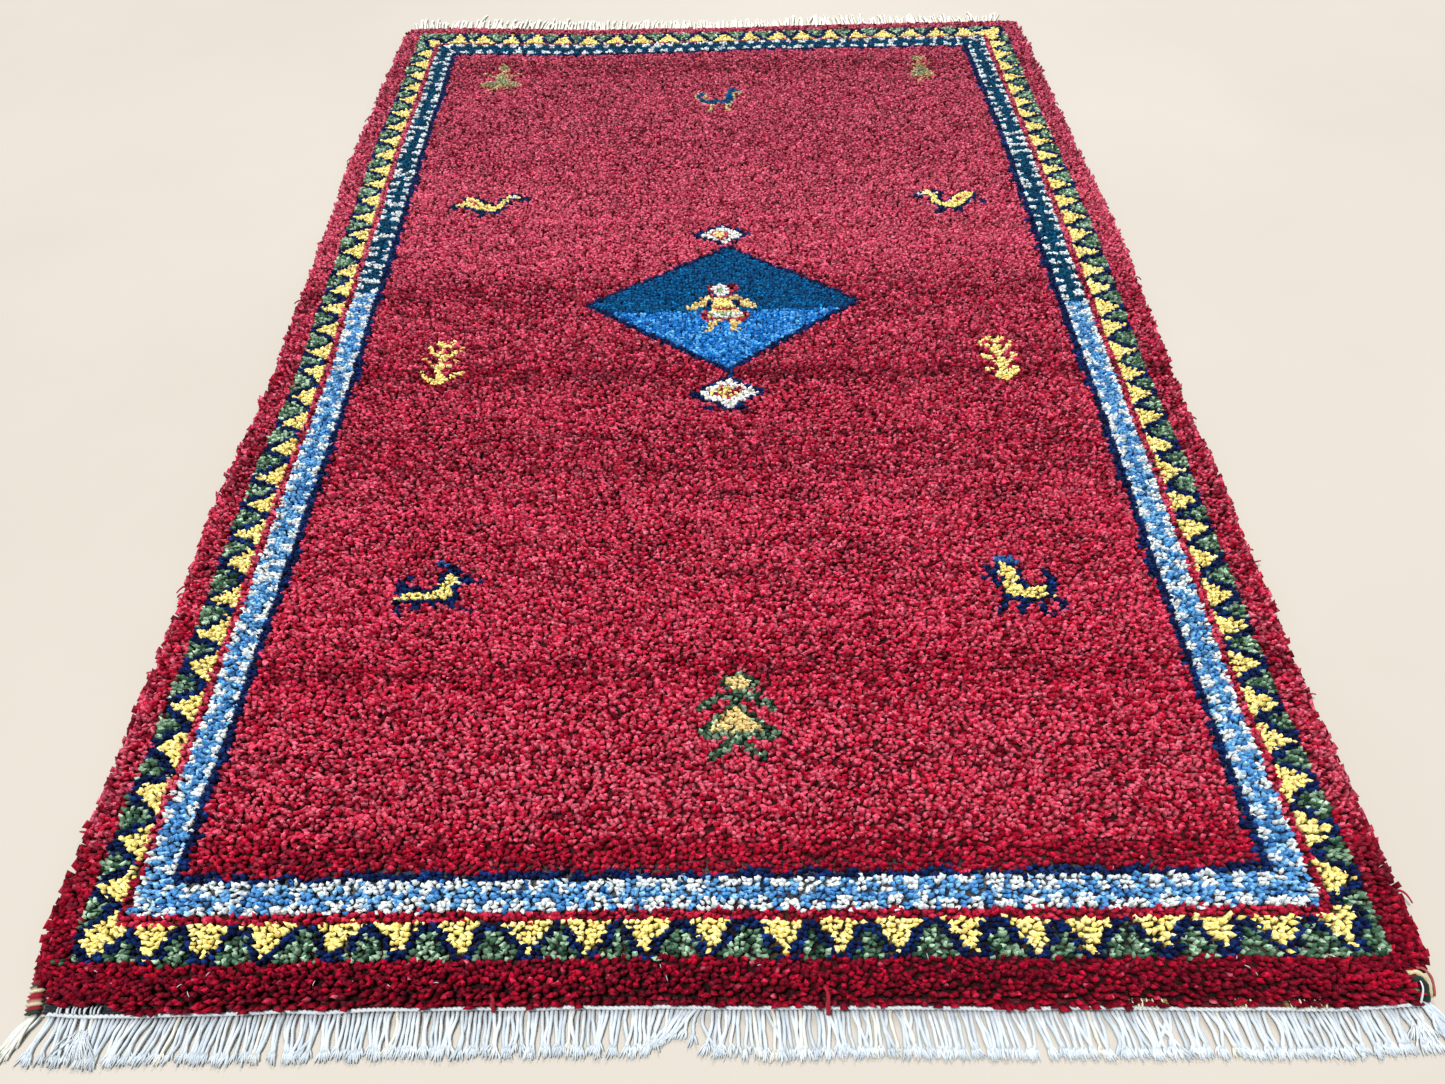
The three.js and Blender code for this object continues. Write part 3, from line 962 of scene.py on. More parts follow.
# ---------------------------------------------------------------- foundation
def foundation():
    """The woven ground under the pile: one closed sheet, with the backs of the knots in low ridges underneath. Its
    upper side lies hidden among the tufts and is coarser, painted dark as the shade down between the tufts.
    """
    fx, fy = 132, 138
    gu, gv = np.meshgrid(np.arange(fx + 1) * NX / fx, np.arange(fy + 1) * NY / fy)
    x, y = place(gu, gv, inset=5.2, end_inset=3.2, wear=0.3)
    cu = np.clip(np.round(gu - 0.5).astype(int), 0, NX - 1)
    cv = np.clip(np.round(gv - 0.5).astype(int), 0, NY - 1)
    code = CHART[cv, cu].ravel()
    tone, _, _, _ = yarn(gu.ravel(), gv.ravel(), code, np.random.default_rng(7))
    n = gu.size
    iy, ix = np.indices(gu.shape)
    rim_away = np.minimum(np.minimum(ix, fx - ix), np.minimum(iy, fy - iy))
    height = np.where(rim_away < 1, 3.3, 9.0) + 0.2 * lattice(gu, gv, 9, 9, 71)
    top = np.stack([x.ravel(), y.ravel(), height.ravel()], 1)
    low = np.stack([x.ravel(), y.ravel(), 0.3 + 0.35 * ((ix + iy) % 2).ravel()], 1)
    idx = np.arange(n).reshape(gu.shape)
    a, b, c, d = idx[:-1, :-1].ravel(), idx[:-1, 1:].ravel(), idx[1:, 1:].ravel(), idx[1:, :-1].ravel()
    down = np.concatenate([np.stack([a, c, b], 1), np.stack([a, d, c], 1)]) + n
    core = idx[2:-1:2, 2:-1:2]
    a, b, c, d = core[:-1, :-1].ravel(), core[:-1, 1:].ravel(), core[1:, 1:].ravel(), core[1:, :-1].ravel()
    up = [np.stack([a, b, c], 1), np.stack([a, c, d], 1)]
    # between the fine rim and the coarse core, side by side, all the way round
    for fine, coarse in (
        (idx[0, :], core[0, :]), (idx[:, -1], core[:, -1]), (idx[-1, ::-1], core[-1, ::-1]), (idx[::-1, 0], core[::-1, 0]),
    ):
        f = fine[2:-2]
        p, q, r = f[0:-1:2], f[1::2], f[2::2]
        up += [np.stack([p, q, coarse[:-1]], 1), np.stack([q, coarse[1:], coarse[:-1]], 1), np.stack([q, r, coarse[1:]], 1)]
        up.append(np.array([[fine[0], fine[1], coarse[0]], [fine[1], fine[2], coarse[0]], [fine[-3], fine[-2], coarse[-1]], [fine[-2], fine[-1], coarse[-1]]]))
    up = np.concatenate(up)
    rim = np.concatenate([idx[0, :], idx[1:, -1], idx[-1, -2::-1], idx[-2:0:-1, 0]])
    nxt = np.roll(rim, -1)
    wall = np.concatenate([np.stack([rim, rim + n, nxt + n], 1), np.stack([rim, nxt + n, nxt], 1)])
    tris = np.concatenate([up, down, wall])
    # painted shade on the upper side, the knot backs' own colour on the underside
    col = np.concatenate([tone * 0.16, tone * 0.8])
    px = (gu.ravel() / NX) * 0.48 + 0.01
    py = gv.ravel() / NY * 0.96 + 0.02
    both = np.concatenate([np.stack([px, py], 1), np.stack([px + 0.5, py], 1)])
    # The rim is a narrow ribbon between the two halves of the map.
    corner = tris.ravel()
    uvs = both[corner]
    k = (len(up) + len(down)) * 3
    uvs[k:, 0] = 0.495 + 0.006 * (corner[k:] >= n)
    used = np.unique(corner)
    renumber = np.full(2 * n, -1)
    renumber[used] = np.arange(len(used))
    ob = make_mesh("foundation", np.concatenate([top, low])[used], renumber[tris], col[used], uvs, BACK)
    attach(ob, "root")
    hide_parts("rug_pile")
    return ob


GROUND = foundation()


# ---------------------------------------------------------------- tubes
def tubes(paths, radii, sides, colours, lobes=None, across=1, closed=True):
    """Many strands as one mesh: paths (strand, point, xyz), radii (strand, point), colours (strand, point, rgb). lobes is (depth, count, phase for each strand and point)."""
    s, p, _ = paths.shape
    ahead = np.gradient(paths, axis=1)
    ahead /= np.maximum(np.linalg.norm(ahead, axis=2, keepdims=True), 1e-9)
    up = np.zeros_like(ahead)
    up[..., 2] = 1.0
    steep = np.abs(ahead[..., 2]) > 0.9
    up[steep] = (0.0, 1.0, 0.0)
    side = np.cross(ahead, up)
    side /= np.maximum(np.linalg.norm(side, axis=2, keepdims=True), 1e-9)
    up = np.cross(side, ahead)
    angle = np.arange(sides) * (2 * np.pi / sides)
    r = np.repeat(radii[..., None], sides, 2)
    if lobes is not None:
        depth, count, phase = lobes
        r = r * (1 + depth * np.cos(count * (angle[None, None, :] - phase[..., None])))
    ring = (
        paths[:, :, None, :]
        + side[:, :, None, :] * (np.cos(angle)[None, None, :] * r)[..., None]
        + up[:, :, None, :] * (np.sin(angle)[None, None, :] * r)[..., None]
    )
    body = ring.reshape(s, p * sides, 3)
    caps = np.stack([paths[:, 0], paths[:, -1]], 1)
    verts = np.concatenate([body, caps], 1)
    per = p * sides + 2
    i, k = np.meshgrid(np.arange(p - 1), np.arange(sides), indexing="ij")
    i, k = i.ravel(), k.ravel()
    a, b = i * sides + k, i * sides + (k + 1) % sides
    c, d = a + sides, b + sides
    tris = [np.stack([a, b, d], 1), np.stack([a, d, c], 1)]
    k = np.arange(sides)
    start, stop = p * sides, p * sides + 1
    tris.append(np.stack([np.full(sides, start), (k + 1) % sides, k], 1))
    last = (p - 1) * sides
    tris.append(np.stack([np.full(sides, stop), last + k, last + (k + 1) % sides], 1))
    one = np.concatenate(tris)
    all_tris = (np.arange(s)[:, None, None] * per + one[None]).reshape(-1, 3)
    col = np.concatenate([np.repeat(colours, sides, 1), colours[:, :1], colours[:, -1:]], 1)
    # The map: a cell for each strand.
    rows = -(-s // across)
    ka, kr = np.arange(s) % across, np.arange(s) // across
    corner = one.ravel()
    ring_no = np.where(corner < p * sides, corner // sides, np.where(corner == start, 0, p - 1))
    turn = np.where(corner < p * sides, corner % sides, 0).astype(float)
    tri_turn = turn.reshape(-1, 3)
    wraps = (tri_turn.max(1) - tri_turn.min(1)) > sides / 2
    tri_turn[wraps] = np.where(tri_turn[wraps] < sides / 2, tri_turn[wraps] + sides, tri_turn[wraps])
    turn = tri_turn.ravel()
    lu = 0.05 + 0.9 * turn / sides
    lv = 0.05 + 0.9 * ring_no / (p - 1)
    uv = np.stack([(ka[:, None] + lu[None]) / across, (kr[:, None] + lv[None]) / rows], 2)
    return verts.reshape(-1, 3), all_tris, col.reshape(-1, 3), uv.reshape(-1, 2)


def joined(parts):
    """Several (verts, tris, colours, uvs) as one, the maps side by side."""
    verts, tris, cols, uvs, n = [], [], [], [], 0
    for i, (v, t, c, uv) in enumerate(parts):
        verts.append(v)
        tris.append(t + n)
        cols.append(c)
        uv = uv.copy()
        uv[:, 1] = (uv[:, 1] + i) / len(parts)
        uvs.append(uv)
        n += len(v)
    return np.concatenate(verts), np.concatenate(tris), np.concatenate(cols), np.concatenate(uvs)


# ---------------------------------------------------------------- selvedges
WRAPS = {"r": linear((132, 16, 38)), "d": linear((34, 52, 44)), "b": linear((188, 181, 150)), "n": linear((22, 32, 66))}


def selvedge(node, col, way, order, seed, tuck):
    """A cord overcast with wool, one low ridge for each turn of it."""
    pitch = 3.0
    ys = np.arange(-765, 771, pitch / 2)
    loose = np.clip((-736 - ys) / 8, 0, 1)
    x = along(SIDES, ys, col) + way * (SIDE_CORD_WIDE / 2 + tuck * np.clip((-735 - ys) / 30, 0, 1) ** 1.5 + 2.9 * loose)
    sides = 7
    turns = np.arange(len(ys))
    ridge = np.where(turns % 2 == 0, 1.04, 0.84 - 0.14 * loose) * (1 + 0.04 * wave(turns, seed))
    angle = np.arange(sides) * (2 * np.pi / sides)
    slant = 0.8
    px = x[:, None] + np.cos(angle)[None] * (3.25 + 2.9 * loose)[:, None] * ridge[:, None]
    pz = 3.1 + np.sin(angle)[None] * 2.9 * ridge[:, None]
    pz = np.maximum(pz, 0.15)
    py = ys[:, None] + slant * np.cos(angle)[None] * way + 0.15 * wave(turns, seed + 1)[:, None]
    verts = np.stack([px, py, pz], 2).reshape(-1, 3)
    p = len(ys)
    caps = np.array([[x[0], ys[0] - 0.8, 3.1], [x[-1], ys[-1] + 0.8, 3.1]])
    verts = np.concatenate([verts, caps])
    i, k = np.meshgrid(np.arange(p - 1), np.arange(sides), indexing="ij")
    i, k = i.ravel(), k.ravel()
    a, b = i * sides + k, i * sides + (k + 1) % sides
    c, d = a + sides, b + sides
    k = np.arange(sides)
    last = (p - 1) * sides
    tris = np.concatenate([
        np.stack([a, d, b], 1), np.stack([a, c, d], 1),
        np.stack([np.full(sides, p * sides), k, (k + 1) % sides], 1),
        np.stack([np.full(sides, p * sides + 1), last + (k + 1) % sides, last + k], 1),
    ])
    letters = (order * (p // len(order) + 2))
    wrap = np.array([WRAPS[letters[t // 2]] for t in turns])
    shade = np.where(turns % 2 == 0, 1.08, 0.6) * (1 + 0.12 * wave(turns, seed + 2))
    col_ = np.repeat(wrap * shade[:, None], sides, 0)
    col_ = np.concatenate([col_, wrap[:1] * 0.7, wrap[-1:] * 0.7])
    # The map: the cord in 12 lengths side by side.
    lengths = 12
    corner = tris.ravel()
    ring = np.where(corner < p * sides, corner // sides, np.where(corner == p * sides, 0, p - 1)).astype(float)
    turn = np.where(corner < p * sides, corner % sides, 0).astype(float).reshape(-1, 3)
    wraps = (turn.max(1) - turn.min(1)) > sides / 2
    turn[wraps] = np.where(turn[wraps] < sides / 2, turn[wraps] + sides, turn[wraps])
    per = p / lengths
    block = np.floor(ring.reshape(-1, 3).min(1) / per)
    block = np.clip(block, 0, lengths - 1)
    lv = (ring.reshape(-1, 3) - block[:, None] * per) / (per + 2)
    lu = (block[:, None] + 0.06 + 0.88 * turn / sides) / lengths
    uvs = np.stack([lu.ravel(), (0.01 + 0.98 * lv.ravel()).clip(0, 1)], 1)
    ob = make_mesh(node + "_wraps", verts, tris, col_, uvs, WRAP)
    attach(ob, "root")
    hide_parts(node)
    return ob


SIDE_CORDS = [
    selvedge("selvedge_left", 3, 1, "drbrrbdrrrrbrrrrrrrddrrrrbrrrrnrrrrr", 3, 4.5),
    selvedge("selvedge_right", 4, -1, "dbdrbdrrrrrddrrrrrbrrrrrrrnnrrrrr", 4, 3.5),
]


# ---------------------------------------------------------------- ends
WHITE = linear((202, 210, 215))
SHADY = linear((142, 156, 170))
CREAM = linear((222, 212, 184))


def edge_at(row, x):
    return along(ENDS, x, row["col"])


def end_cord(name, row):
    """Two strands twined across the end of the weave."""
    turn = 7.2
    x = np.arange(row["low"], row["high"], turn / 5)
    y = edge_at(row, x) + row["way"] * (STRIP_LONG + GAP + END_CORD_WIDE / 2 - 0.5)
    seed = row["seed"]
    phase = 2 * np.pi * (x + 1.5 * lattice(x, x, 31, 31, seed)) / turn
    strands = []
    for k in (0, 1):
        a = phase + k * np.pi
        path = np.stack([x, y + 0.6 * np.cos(a) + 0.8 * lattice(x, x * 0, 34, 9, seed + 7), 2.8 + 0.7 * np.sin(a)], 1)[None]
        r = np.full((1, len(x)), 1.0) + 0.08 * wave(np.arange(len(x)), seed + k)[None]
        c = (WHITE * 0.94 + 0.04 * CREAM)[None, None] * (1 + 0.06 * wave(np.arange(len(x)) // 3, seed + 4 + k))[None, :, None]
        # cells of the map: cut the strand in lengths, so that the map is used evenly
        strands.append(tubes(path, r, 5, c))
    v, t, c, uv = joined(strands)
    # fold the long map into 24 lengths
    fold = 24
    raw = uv[:, 1] * 2
    lane = np.floor(raw.clip(0, 1.999))
    part = (raw - lane).reshape(-1, 3)
    block = np.floor((part.min(1) * fold).clip(0, fold - 1))
    part = (part * fold - block[:, None]) / 1.15
    lane = lane.reshape(-1, 3)
    uv = np.stack([
        ((block[:, None] + 0.06 + 0.88 * uv[:, 0].reshape(-1, 3)) / fold).ravel(), ((lane + 0.02 + 0.96 * part.clip(0, 1)) / 2).ravel(),
    ], 1)
    ob = make_mesh(name + "_twine", v, t, c, uv, COTTON)
    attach(ob, "root")
    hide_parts(name)
    return ob


def brushes(rng, paths, tone, each, long_, spread, rows_of_map=40):
    """Loose fibres that fan out of the end of each strand."""
    count = len(paths)
    end, before = paths[:, -1], paths[:, -3]
    ahead = end - before
    ahead /= np.linalg.norm(ahead, axis=1, keepdims=True)
    tips = []
    for f in range(each):
        share = (f + 0.5) / each * 2 - 1
        out = share * spread + rng.normal(0, 0.2 * spread, count)
        start = end - ahead * rng.uniform(2.0, 4.0, (count, 1))
        reach = rng.uniform(*long_, count)
        stop = start + ahead * reach[:, None]
        stop[:, 0] += out
        stop[:, 2] = 1.0 + np.abs(rng.normal(0, 0.7, count))
        middle = (start + stop) / 2 + rng.normal(0, 0.2, (count, 3))
        middle[:, 0] += 0.1 * out
        path = np.stack([start, middle, stop], 1)
        path[..., 2] = np.maximum(path[..., 2], 0.85)
        rad = np.tile(np.array([0.8, 0.95, 0.5]), (count, 1)) * rng.uniform(0.8, 1.15, (count, 1))
        tips.append(tubes(path, rad, 3, np.tile(tone[:, -1:], (1, 3, 1)) * np.array([1.0, 1.06, 1.1])[None, :, None], across=rows_of_map))
    return tips


# The near fringe: x, how far the tips lean, and their share of the full length.
NEAR_LEANS = [
    (-466, -10, 1.0), (-460, -6, 1.02), (-453, -1, 1.04), (-441, 3.6, 1.06), (-427, 2, 1.05), (-417, -5, 1.0), (-392, -8, 1.0), (-372, -4.2, 1.0),
    (-337, -3.3, 1.02), (-295, 0, 1.03), (-233, 0, 1.0), (-163, 0, 1.0), (-80, 0.6, 1.0), (-52, -2, 0.97), (-40, -6, 0.86), (-22, -12, 0.66),
    (-14, -9, 0.62), (-10, 3, 0.95), (-2, -3, 1.0), (7, -5, 1.0), (21, 4, 1.05), (32, 1.5, 1.12), (45, 1.5, 1.05), (101, 2.4, 1.0),
    (170, 3.5, 1.03), (267, 5, 1.02), (371, 4, 1.0), (441, 4.5, 0.97), (475, 5.5, 0.95), (482, 7, 0.9),
]
NEAR_HOLES = [  # x, half width of the opening between the strands
    (-391, 2.4), (-336, 1.9), (-291, 2.6), (-262, 1.2), (-226, 2.0), (-190, 1.2), (-160, 1.4), (-134, 1.9), (-96, 1.1), (-62, 1.6),
    (-9, 4.2), (2, 2.4), (16, 2.0), (31, 2.4), (66, 1.7), (96, 1.1), (121, 1.7), (180, 1.4), (205, 1.2), (232, 1.9), (263, 2.6), (300, 1.7),
    (331, 1.2), (376, 2.7), (405, 1.4), (431, 2.4), (456, 2.0),
]


def fringe(node, row, count, sides, points, fibres):
    """The twisted ends of the warps, in loose locks, with frayed tips."""
    rng = np.random.default_rng(row["seed"])
    way = row["way"]
    near = way < 0
    high = row["high"] if near else 468
    k = np.arange(count)
    pitch = (high - row["low"]) / count
    x0 = row["low"] + (k + 0.5) * pitch + rng.normal(0, 0.3, count)
    y0 = edge_at(row, x0) + way * (STRIP_LONG + GAP + END_CORD_WIDE / 2 - 0.3)
    side = 2 * (k + 0.5) / count - 1
    if near:
        lean = along(NEAR_LEANS, x0, 1)
        share = along(NEAR_LEANS, x0, 2)
    else:
        lean = 3.0 * lattice(x0, x0 * 0, 38, 9, 21) + 9.0 * side ** 25
        share = 0.8 + 0.2 * lattice(x0, x0 * 0, 7, 9, 22) + 0.08 * rng.normal(0, 1, count)
    stray = rng.random(count) < (0.1 if near else 0.14)
    lean = lean + rng.normal(0, 0.9 if near else 2.2, count) + stray * rng.normal(0, 5.0, count)
    # strands draw together into small locks, with gaps between some of them
    lock = np.floor(k / 3.4 + 0.45 * wave(np.floor(k / 3.4), row["seed"] + 2))
    mid = np.zeros(count)
    for value in np.unique(lock):
        m = lock == value
        mid[m] = x0[m].mean()
    lean = lean + (0.12 + 0.25 * wave(lock, row["seed"] + 6)) * (mid - x0) + 0.9 * wave(lock, row["seed"] + 3)
    reach = (row["long"] - 1.5) * share + rng.normal(0, 0.6, count)
    t = np.linspace(0, 1, points)[None]
    curl = rng.normal(0, 1.05 if near else 0.75, (count, 1)) * np.sin(t * np.pi * rng.uniform(0.9, 2.2, (count, 1)) + rng.uniform(0, 6, (count, 1)))
    x = x0[:, None] + lean[:, None] * t ** 1.15 + curl * t ** 0.5 * (t > 0)
    if near:
        for at, wide in NEAR_HOLES:
            gap = x0 - at
            push = np.sign(gap) * 0.75 * wide * np.exp(-(gap / 8.5) ** 2)
            x = x + push[:, None] * np.sin(np.pi * np.clip(t * 1.05, 0, 1) ** 0.8)
    y = y0[:, None] + way * reach[:, None] * (t - 0.015 * t * t) + 0.3 * np.sin(t * 9 + k[:, None])
    layer = rng.uniform(0, 1, (count, 1))
    z = 1.35 + 1.5 * layer * np.sin(np.pi * t ** 0.8) + (0.0 if near else 3.0) * layer * t
    thin = rng.uniform(0.92, 1.1, (count, 1))
    radii = thin * ((1.42 if near else 1.5) - 0.05 * t) * np.ones_like(x)
    phase = 2 * np.pi * (y - y0[:, None]) / 7.5 + rng.uniform(0, 6, (count, 1))
    # painted shade: the lower a strand lies, the darker it is; at the near end it is blended towards the shady
    # blue-grey
    if near:
        tone = (WHITE[None, None] * (1 - 0.45 * (1 - layer[..., None])) + SHADY[None, None] * 0.45 * (1 - layer[..., None])) * np.ones((count, points, 1))
    else:
        tone = linear((240, 238, 226))[None, None] * (0.8 + 0.2 * layer[..., None]) * np.ones((count, points, 1))
    tone = tone * (1 + 0.05 * rng.normal(0, 1, (count, points, 1))).clip(0.85, 1.06)
    # painted shadow under the end cord: the first points of each near strand are darker
    if near:
        tone[:, 0] *= 0.35
        tone[:, 1] *= 0.85
    cream = (rng.random(count) < 0.05)[:, None, None]
    tone = np.where(cream, tone * 0.55 + CREAM * 0.45, tone)
    paths = np.stack([x, y, z], 2)
    parts = [tubes(paths, radii, sides, tone, lobes=(0.16, 2, phase), across=40)]
    parts += brushes(rng, paths, tone, fibres, (6.0, 10.5) if near else (8.0, 18.0), 3.5 if near else 2.6)
    v, tr, c, uv = joined(parts)
    ob = make_mesh(node + "_warps", v, tr, c, uv, COTTON)
    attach(ob, "root")
    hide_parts(node)
    return ob


def weft_strip(end, row):
    """The few flat-woven picks past the last row of knots."""
    x = np.arange(row["low"] - 4, row["high"] + 4, 4.0)
    n = len(x)
    parts = []
    rng = np.random.default_rng(row["seed"] + 40)
    for pick, off in enumerate((1.9, -0.1, -2.1, -4.1)):
        over = 0.35 * (-1) ** (np.arange(n) + pick)
        y = edge_at(row, x) + row["way"] * off
        path = np.stack([x, y, 1.55 + over], 1)[None]
        r = np.full((1, n), 1.25)
        bare = ((x > 284) & (x < 311)) | ((x > 354) & (x < 371)) | ((x > 392) & (x < 421))
        code = np.where(x < -417, 0, np.where(bare, 2, 1))
        inks = np.stack([linear((20, 34, 42)), linear((84, 8, 22)), linear((150, 128, 82))])
        c = (inks[code] * rng.uniform(0.75, 1.15, (n, 1)))[None]
        parts.append(tubes(path, r, 4, c))
    v, t, c, uv = joined(parts)
    ob = make_mesh(f"weft_strip_{end}", v, t, c, uv, WRAP)
    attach(ob, "root")
    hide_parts("rug_pile")
    return ob


def threads():
    """White stitches over the flat-woven strip, the bunched yarn ends at the near corners, and the few stray ends."""
    rng = np.random.default_rng(77)
    row = FINISHES["front"]
    cotton, wool = [], []
    # overcast stitches at the near left, a few cream ones at the right
    x = np.concatenate([np.arange(-459, -428, 2.6), np.arange(286, 309, 3.3), np.arange(356, 369, 3.6), np.arange(394, 419, 3.4)])
    x = x + rng.normal(0, 0.35, len(x))
    n = len(x)
    y = edge_at(row, x)
    t = np.linspace(0, 1, 5)[None]
    px = x[:, None] + rng.normal(0, 0.7, (n, 1)) * t
    py = y[:, None] + np.where(x < 0, 2.4, 2.0)[:, None] - 5.9 * t
    pz = 3.6 + 1.4 * np.sin(np.pi * t) + np.where(x < 0, 0.0, 2.2)[:, None] * (1 - t)
    tone = np.where((x < 0)[:, None, None], WHITE, CREAM) * np.ones((n, 5, 1))
    cotton.append(tubes(np.stack([px, py, pz], 2), np.full((n, 5), 0.78), 4, tone, across=20))
    # yarn ends bunched at the corners: beige at the left, blue-grey at the right
    for cx, cy, aim, many, ink in ((-475.5, -766, (-12.0, -25.0), 16, (206, 202, 182)), (487, -767, (9.0, -20.0), 18, (172, 184, 196))):
        k = many
        t = np.linspace(0, 1, 7)[None]
        sx = cx + rng.normal(0, 1.5, (k, 1))
        out = aim[0] + np.linspace(-5.0, 5.0, k)[:, None] + rng.normal(0, 0.8, (k, 1))
        down = aim[1] * rng.uniform(0.75, 1.12, (k, 1))
        px = sx + out * t ** 1.1 + rng.normal(0, 0.8, (k, 1)) * np.sin(t * 5)
        py = cy + rng.normal(0, 0.8, (k, 1)) + down * t
        pz = 2.6 + rng.uniform(0, 2.4, (k, 1)) * np.sin(np.pi * t) - 1.2 * t
        mix = rng.uniform(0, 1, (k, 1, 1))
        tone = (WHITE * mix + linear(ink) * (1 - mix)) * np.ones((k, 7, 1))
        paths = np.stack([px, py, np.maximum(pz, 1.0)], 2)
        # painted shade at the roots of the bunched yarn ends
        tone[:, 0] *= 0.5
        cotton.append(tubes(paths, np.full((k, 7), 1.0), 5, tone, across=20))
        cotton += brushes(rng, paths, tone, 3, (3.5, 6.5), 1.3, 20)
    # a frayed clump over the near fringe, and a thinner one at its right end
    for cx, cy, wide, long_, many in ((-437, -779, 8.0, 17.0, 90), (478, -782, 7.0, 13.0, 50)):
        t = np.linspace(0, 1, 5)[None]
        sx = cx + rng.normal(0, 0.28 * wide, (many, 1))
        out = (sx - cx) * 1.2 + rng.normal(0, 0.35 * wide, (many, 1))
        px = sx + out * t + rng.normal(0, 0.6, (many, 1)) * np.sin(t * 6)
        py = cy + rng.normal(0, 1.6, (many, 1)) - long_ * rng.uniform(0.5, 1.1, (many, 1)) * t
        pz = 3.6 + rng.uniform(0, 2.4, (many, 1)) * np.sin(np.pi * t) - 2.0 * t
        tone = WHITE * rng.uniform(0.85, 1.15, (many, 1, 1)) * np.ones((many, 5, 1))
        cotton.append(tubes(np.stack([px, py, np.maximum(pz, 0.8)], 2), np.full((many, 5), 0.55), 3, tone, across=20))
    # the side cord's last turns at the near right corner, which stand over the worn pile
    t = np.linspace(0, 1, 13)
    for (ax, ay), (bx, by), (cx, cy), (dx, dy), rad, ink in (
        ((480.0, -755.0), (486.0, -754.0), (489.5, -758.5), (489.0, -767.0), 2.4, (22, 42, 36)),
        ((478.5, -751.0), (486.0, -749.0), (493.5, -753.5), (492.6, -764.0), 1.9, (190, 178, 140)),
        ((486.0, -747.5), (491.5, -747.0), (497.2, -753.5), (495.6, -764.0), 1.0, (150, 74, 68)),
    ):
        bez = [(1 - t) ** 3 * p0 + 3 * (1 - t) ** 2 * t * p1 + 3 * (1 - t) * t * t * p2 + t ** 3 * p3 for p0, p1, p2, p3 in ((ax, bx, cx, dx), (ay, by, cy, dy))]
        path = np.stack([bez[0], bez[1], 12.4 + 1.8 * np.sin(np.pi * t) - 8.4 * t ** 2], 1)[None]
        phase = np.linspace(0, 9, 13)[None]
        wool.append(tubes(path, np.full((1, 13), rad), 6, np.tile(linear(ink), (1, 13, 1)), lobes=(0.14, 2, phase)))
    t = np.linspace(0, 1, 8)
    path = np.stack([483.5 + 0.6 * np.sin(t * 5), -757.0 - 13.0 * t, 14.8 - 10.0 * t ** 2], 1)[None]
    cotton.append(tubes(path, np.linspace(0.5, 0.85, 8)[None], 5, np.tile(WHITE, (1, 8, 1))))
    # red ends that hang over the cord
    t = np.linspace(0, 1, 10)
    for x0, y0, long_ in ((73, -756, 15.5), (-158, -759, 8.0)):
        path = np.stack([x0 + 3.4 * t + 1.0 * np.sin(t * 5), y0 - long_ * t, 13.0 - 7.0 * t ** 2 + 1.0 * np.sin(t * 4)], 1)[None]
        wool.append(tubes(path, np.linspace(0.9, 1.9, 10)[None], 5, np.tile(linear((150, 10, 36)), (1, 10, 1)), lobes=(0.2, 3, t[None] * 6)))
    # short red ends along both sides
    k = 46
    side = np.where(np.arange(k) % 2 == 0, 1, 2)
    yy = rng.uniform(-735, 740, k)
    sign = np.where(side == 1, -1.0, 1.0)
    xx = np.where(side == 1, along(SIDES, yy, 1), along(SIDES, yy, 2)) - sign * 3.0
    t = np.linspace(0, 1, 6)[None]
    long_ = rng.uniform(4.5, 9.5, (k, 1))
    bend = rng.normal(0, 3.0, (k, 1))
    paths = np.stack([
        xx[:, None] + sign[:, None] * long_ * t, yy[:, None] + bend * t ** 2, 9.5 + rng.normal(0, 1.2, (k, 1)) - 3.4 * t ** 2 + rng.uniform(0, 1.5, (k, 1)) * np.sin(t * 3),
    ], 2)
    tone = (linear((150, 18, 44)) * rng.uniform(0.7, 1.5, (k, 1, 1))) * np.ones((k, 6, 1))
    wool.append(tubes(paths, np.linspace(1.25, 0.7, 6)[None] * rng.uniform(0.8, 1.15, (k, 1)), 4, tone, across=20))
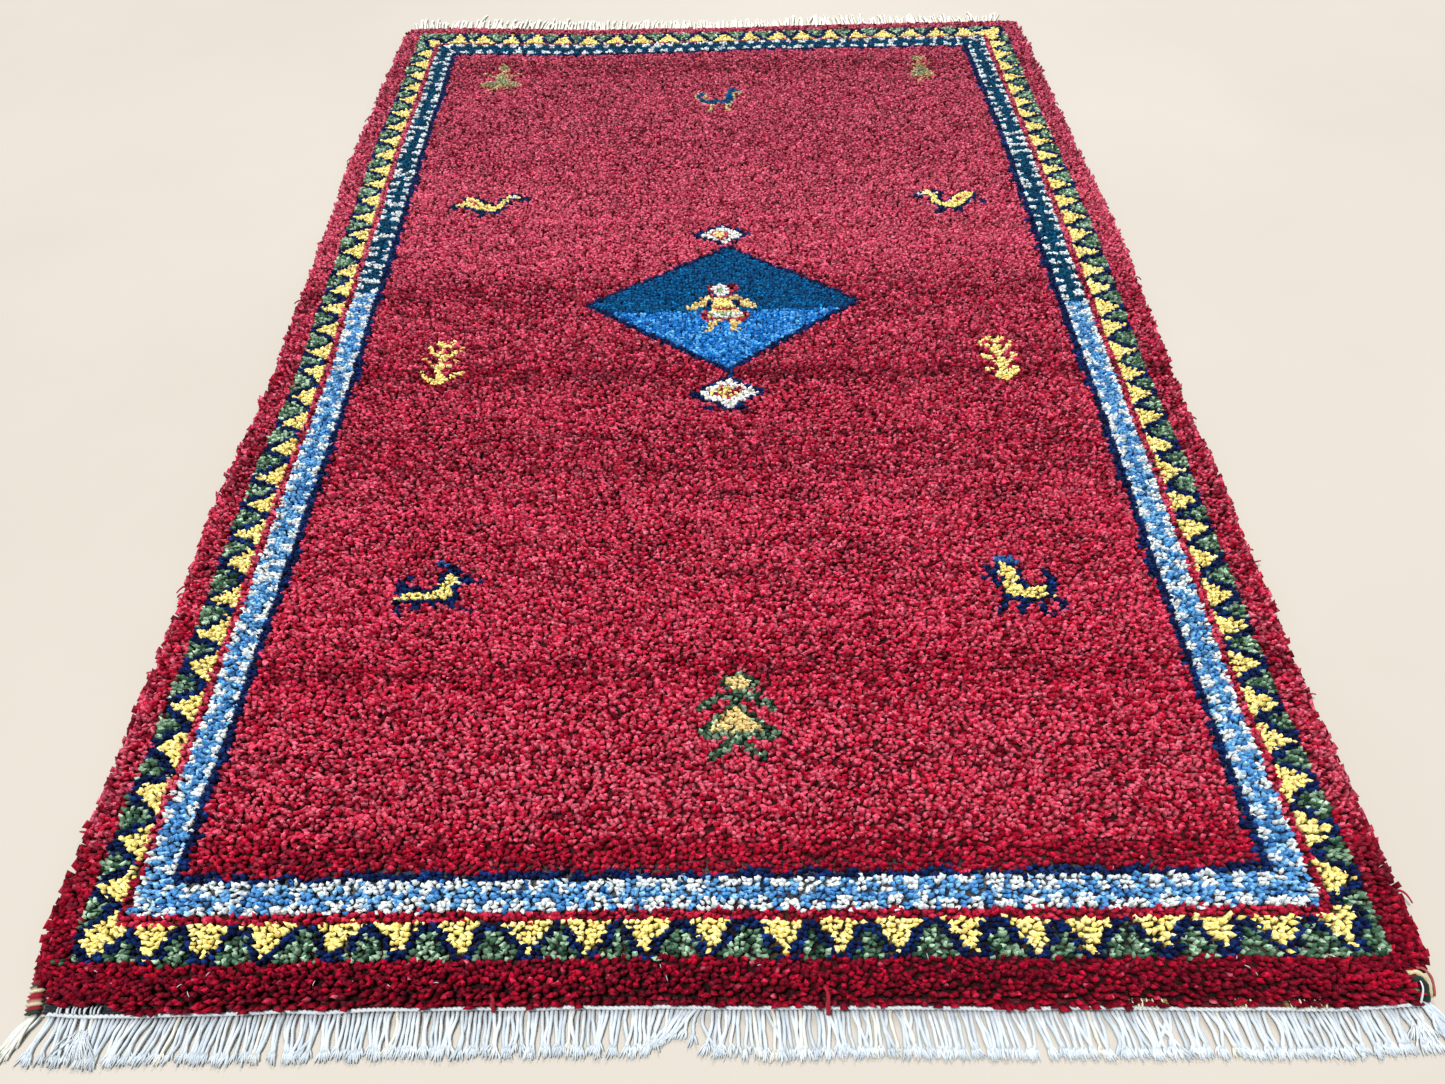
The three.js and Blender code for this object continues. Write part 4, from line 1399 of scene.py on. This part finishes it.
    # pale lint caught in the pile
    k = 30
    xx, yy = rng.uniform(-470, 470, k), rng.uniform(-755, 300, k)
    yy[:16] = rng.uniform(-758, -735, 16)
    go = rng.uniform(0, 2 * np.pi, (k, 1))
    t = np.linspace(0, 1, 4)[None]
    long_ = rng.uniform(2.0, 5.0, (k, 1))
    paths = np.stack([xx[:, None] + np.cos(go) * long_ * t, yy[:, None] + np.sin(go) * long_ * t, 15.0 + 0.8 * np.sin(t * 3) + 0 * go], 2)
    cotton.append(tubes(paths, np.full((k, 4), 0.3), 3, WHITE * 0.9 * np.ones((k, 4, 1)), across=10))
    made = []
    for name, parts, mat, slot, node in (
        ("stray_cotton", cotton, COTTON, "cotton", "fringe_front"), ("stray_wool", wool, WRAP, "selvedge_wool", "selvedge_right"),
    ):
        v, tr, c, uv = joined(parts)
        ob = make_mesh(name, v, tr, c, uv, mat)
        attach(ob, "root")
        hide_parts(node)
        made.append(ob)
    return made


ENDS_MADE = []
for end, row in FINISHES.items():
    near = end == "front"
    ENDS_MADE.append(end_cord(f"end_cord_{end}", row))
    ENDS_MADE.append(fringe(f"fringe_{end}", row, 292, 5 if near else 4, 10 if near else 6, 7 if near else 2))
    ENDS_MADE.append(weft_strip(end, row))
ENDS_MADE += threads()


# ---------------------------------------------------------------- stage
def stage():
    mat, tree, skin = new_material("pale_floor")
    where = tree.nodes.new("ShaderNodeTexCoord").outputs["Object"]
    tone = ramp(tree, noise(tree, where, 1.6, 4.0), [(0.3, (0.42, 0.385, 0.335)), (0.7, (0.45, 0.415, 0.365))])
    tree.links.new(tone, skin.inputs["Base Color"])
    skin.inputs["Roughness"].default_value = 0.6
    skin.inputs["Specular IOR Level"].default_value = 0.3
    me = bpy.data.meshes.new("floor")
    r = 9.0
    me.from_pydata([(-r, -r, 0), (r, -r, 0), (r, r, 0), (-r, r, 0)], [], [(0, 1, 2, 3)])
    ob = bpy.data.objects.new("floor", me)
    bpy.context.scene.collection.objects.link(ob)
    me.materials.append(mat)

    world = bpy.data.worlds.new("world")
    bpy.context.scene.world = world
    world.use_nodes = True
    back = world.node_tree.nodes["Background"]
    back.inputs["Color"].default_value = (0.93, 0.96, 1.0, 1.0)
    back.inputs["Strength"].default_value = 0.4

    def lamp(name, way, wide, strength, tint):
        data = bpy.data.lights.new(name, "SUN")
        data.angle, data.energy, data.color = math.radians(wide), strength, tint
        ob = bpy.data.objects.new(name, data)
        bpy.context.scene.collection.objects.link(ob)
        ob.location = way
        ob.rotation_euler = (-Vector(way)).to_track_quat("-Z", "Y").to_euler()

    lamp("soft_far", (0.3, 2.3, 2.3), 20.0, 1.7, (0.97, 0.98, 1.0))
    lamp("soft_top", (-0.6, -0.3, 2.3), 15.0, 3.9, (1.0, 0.99, 0.97))


stage()
bpy.context.scene.view_settings.view_transform = "Standard"
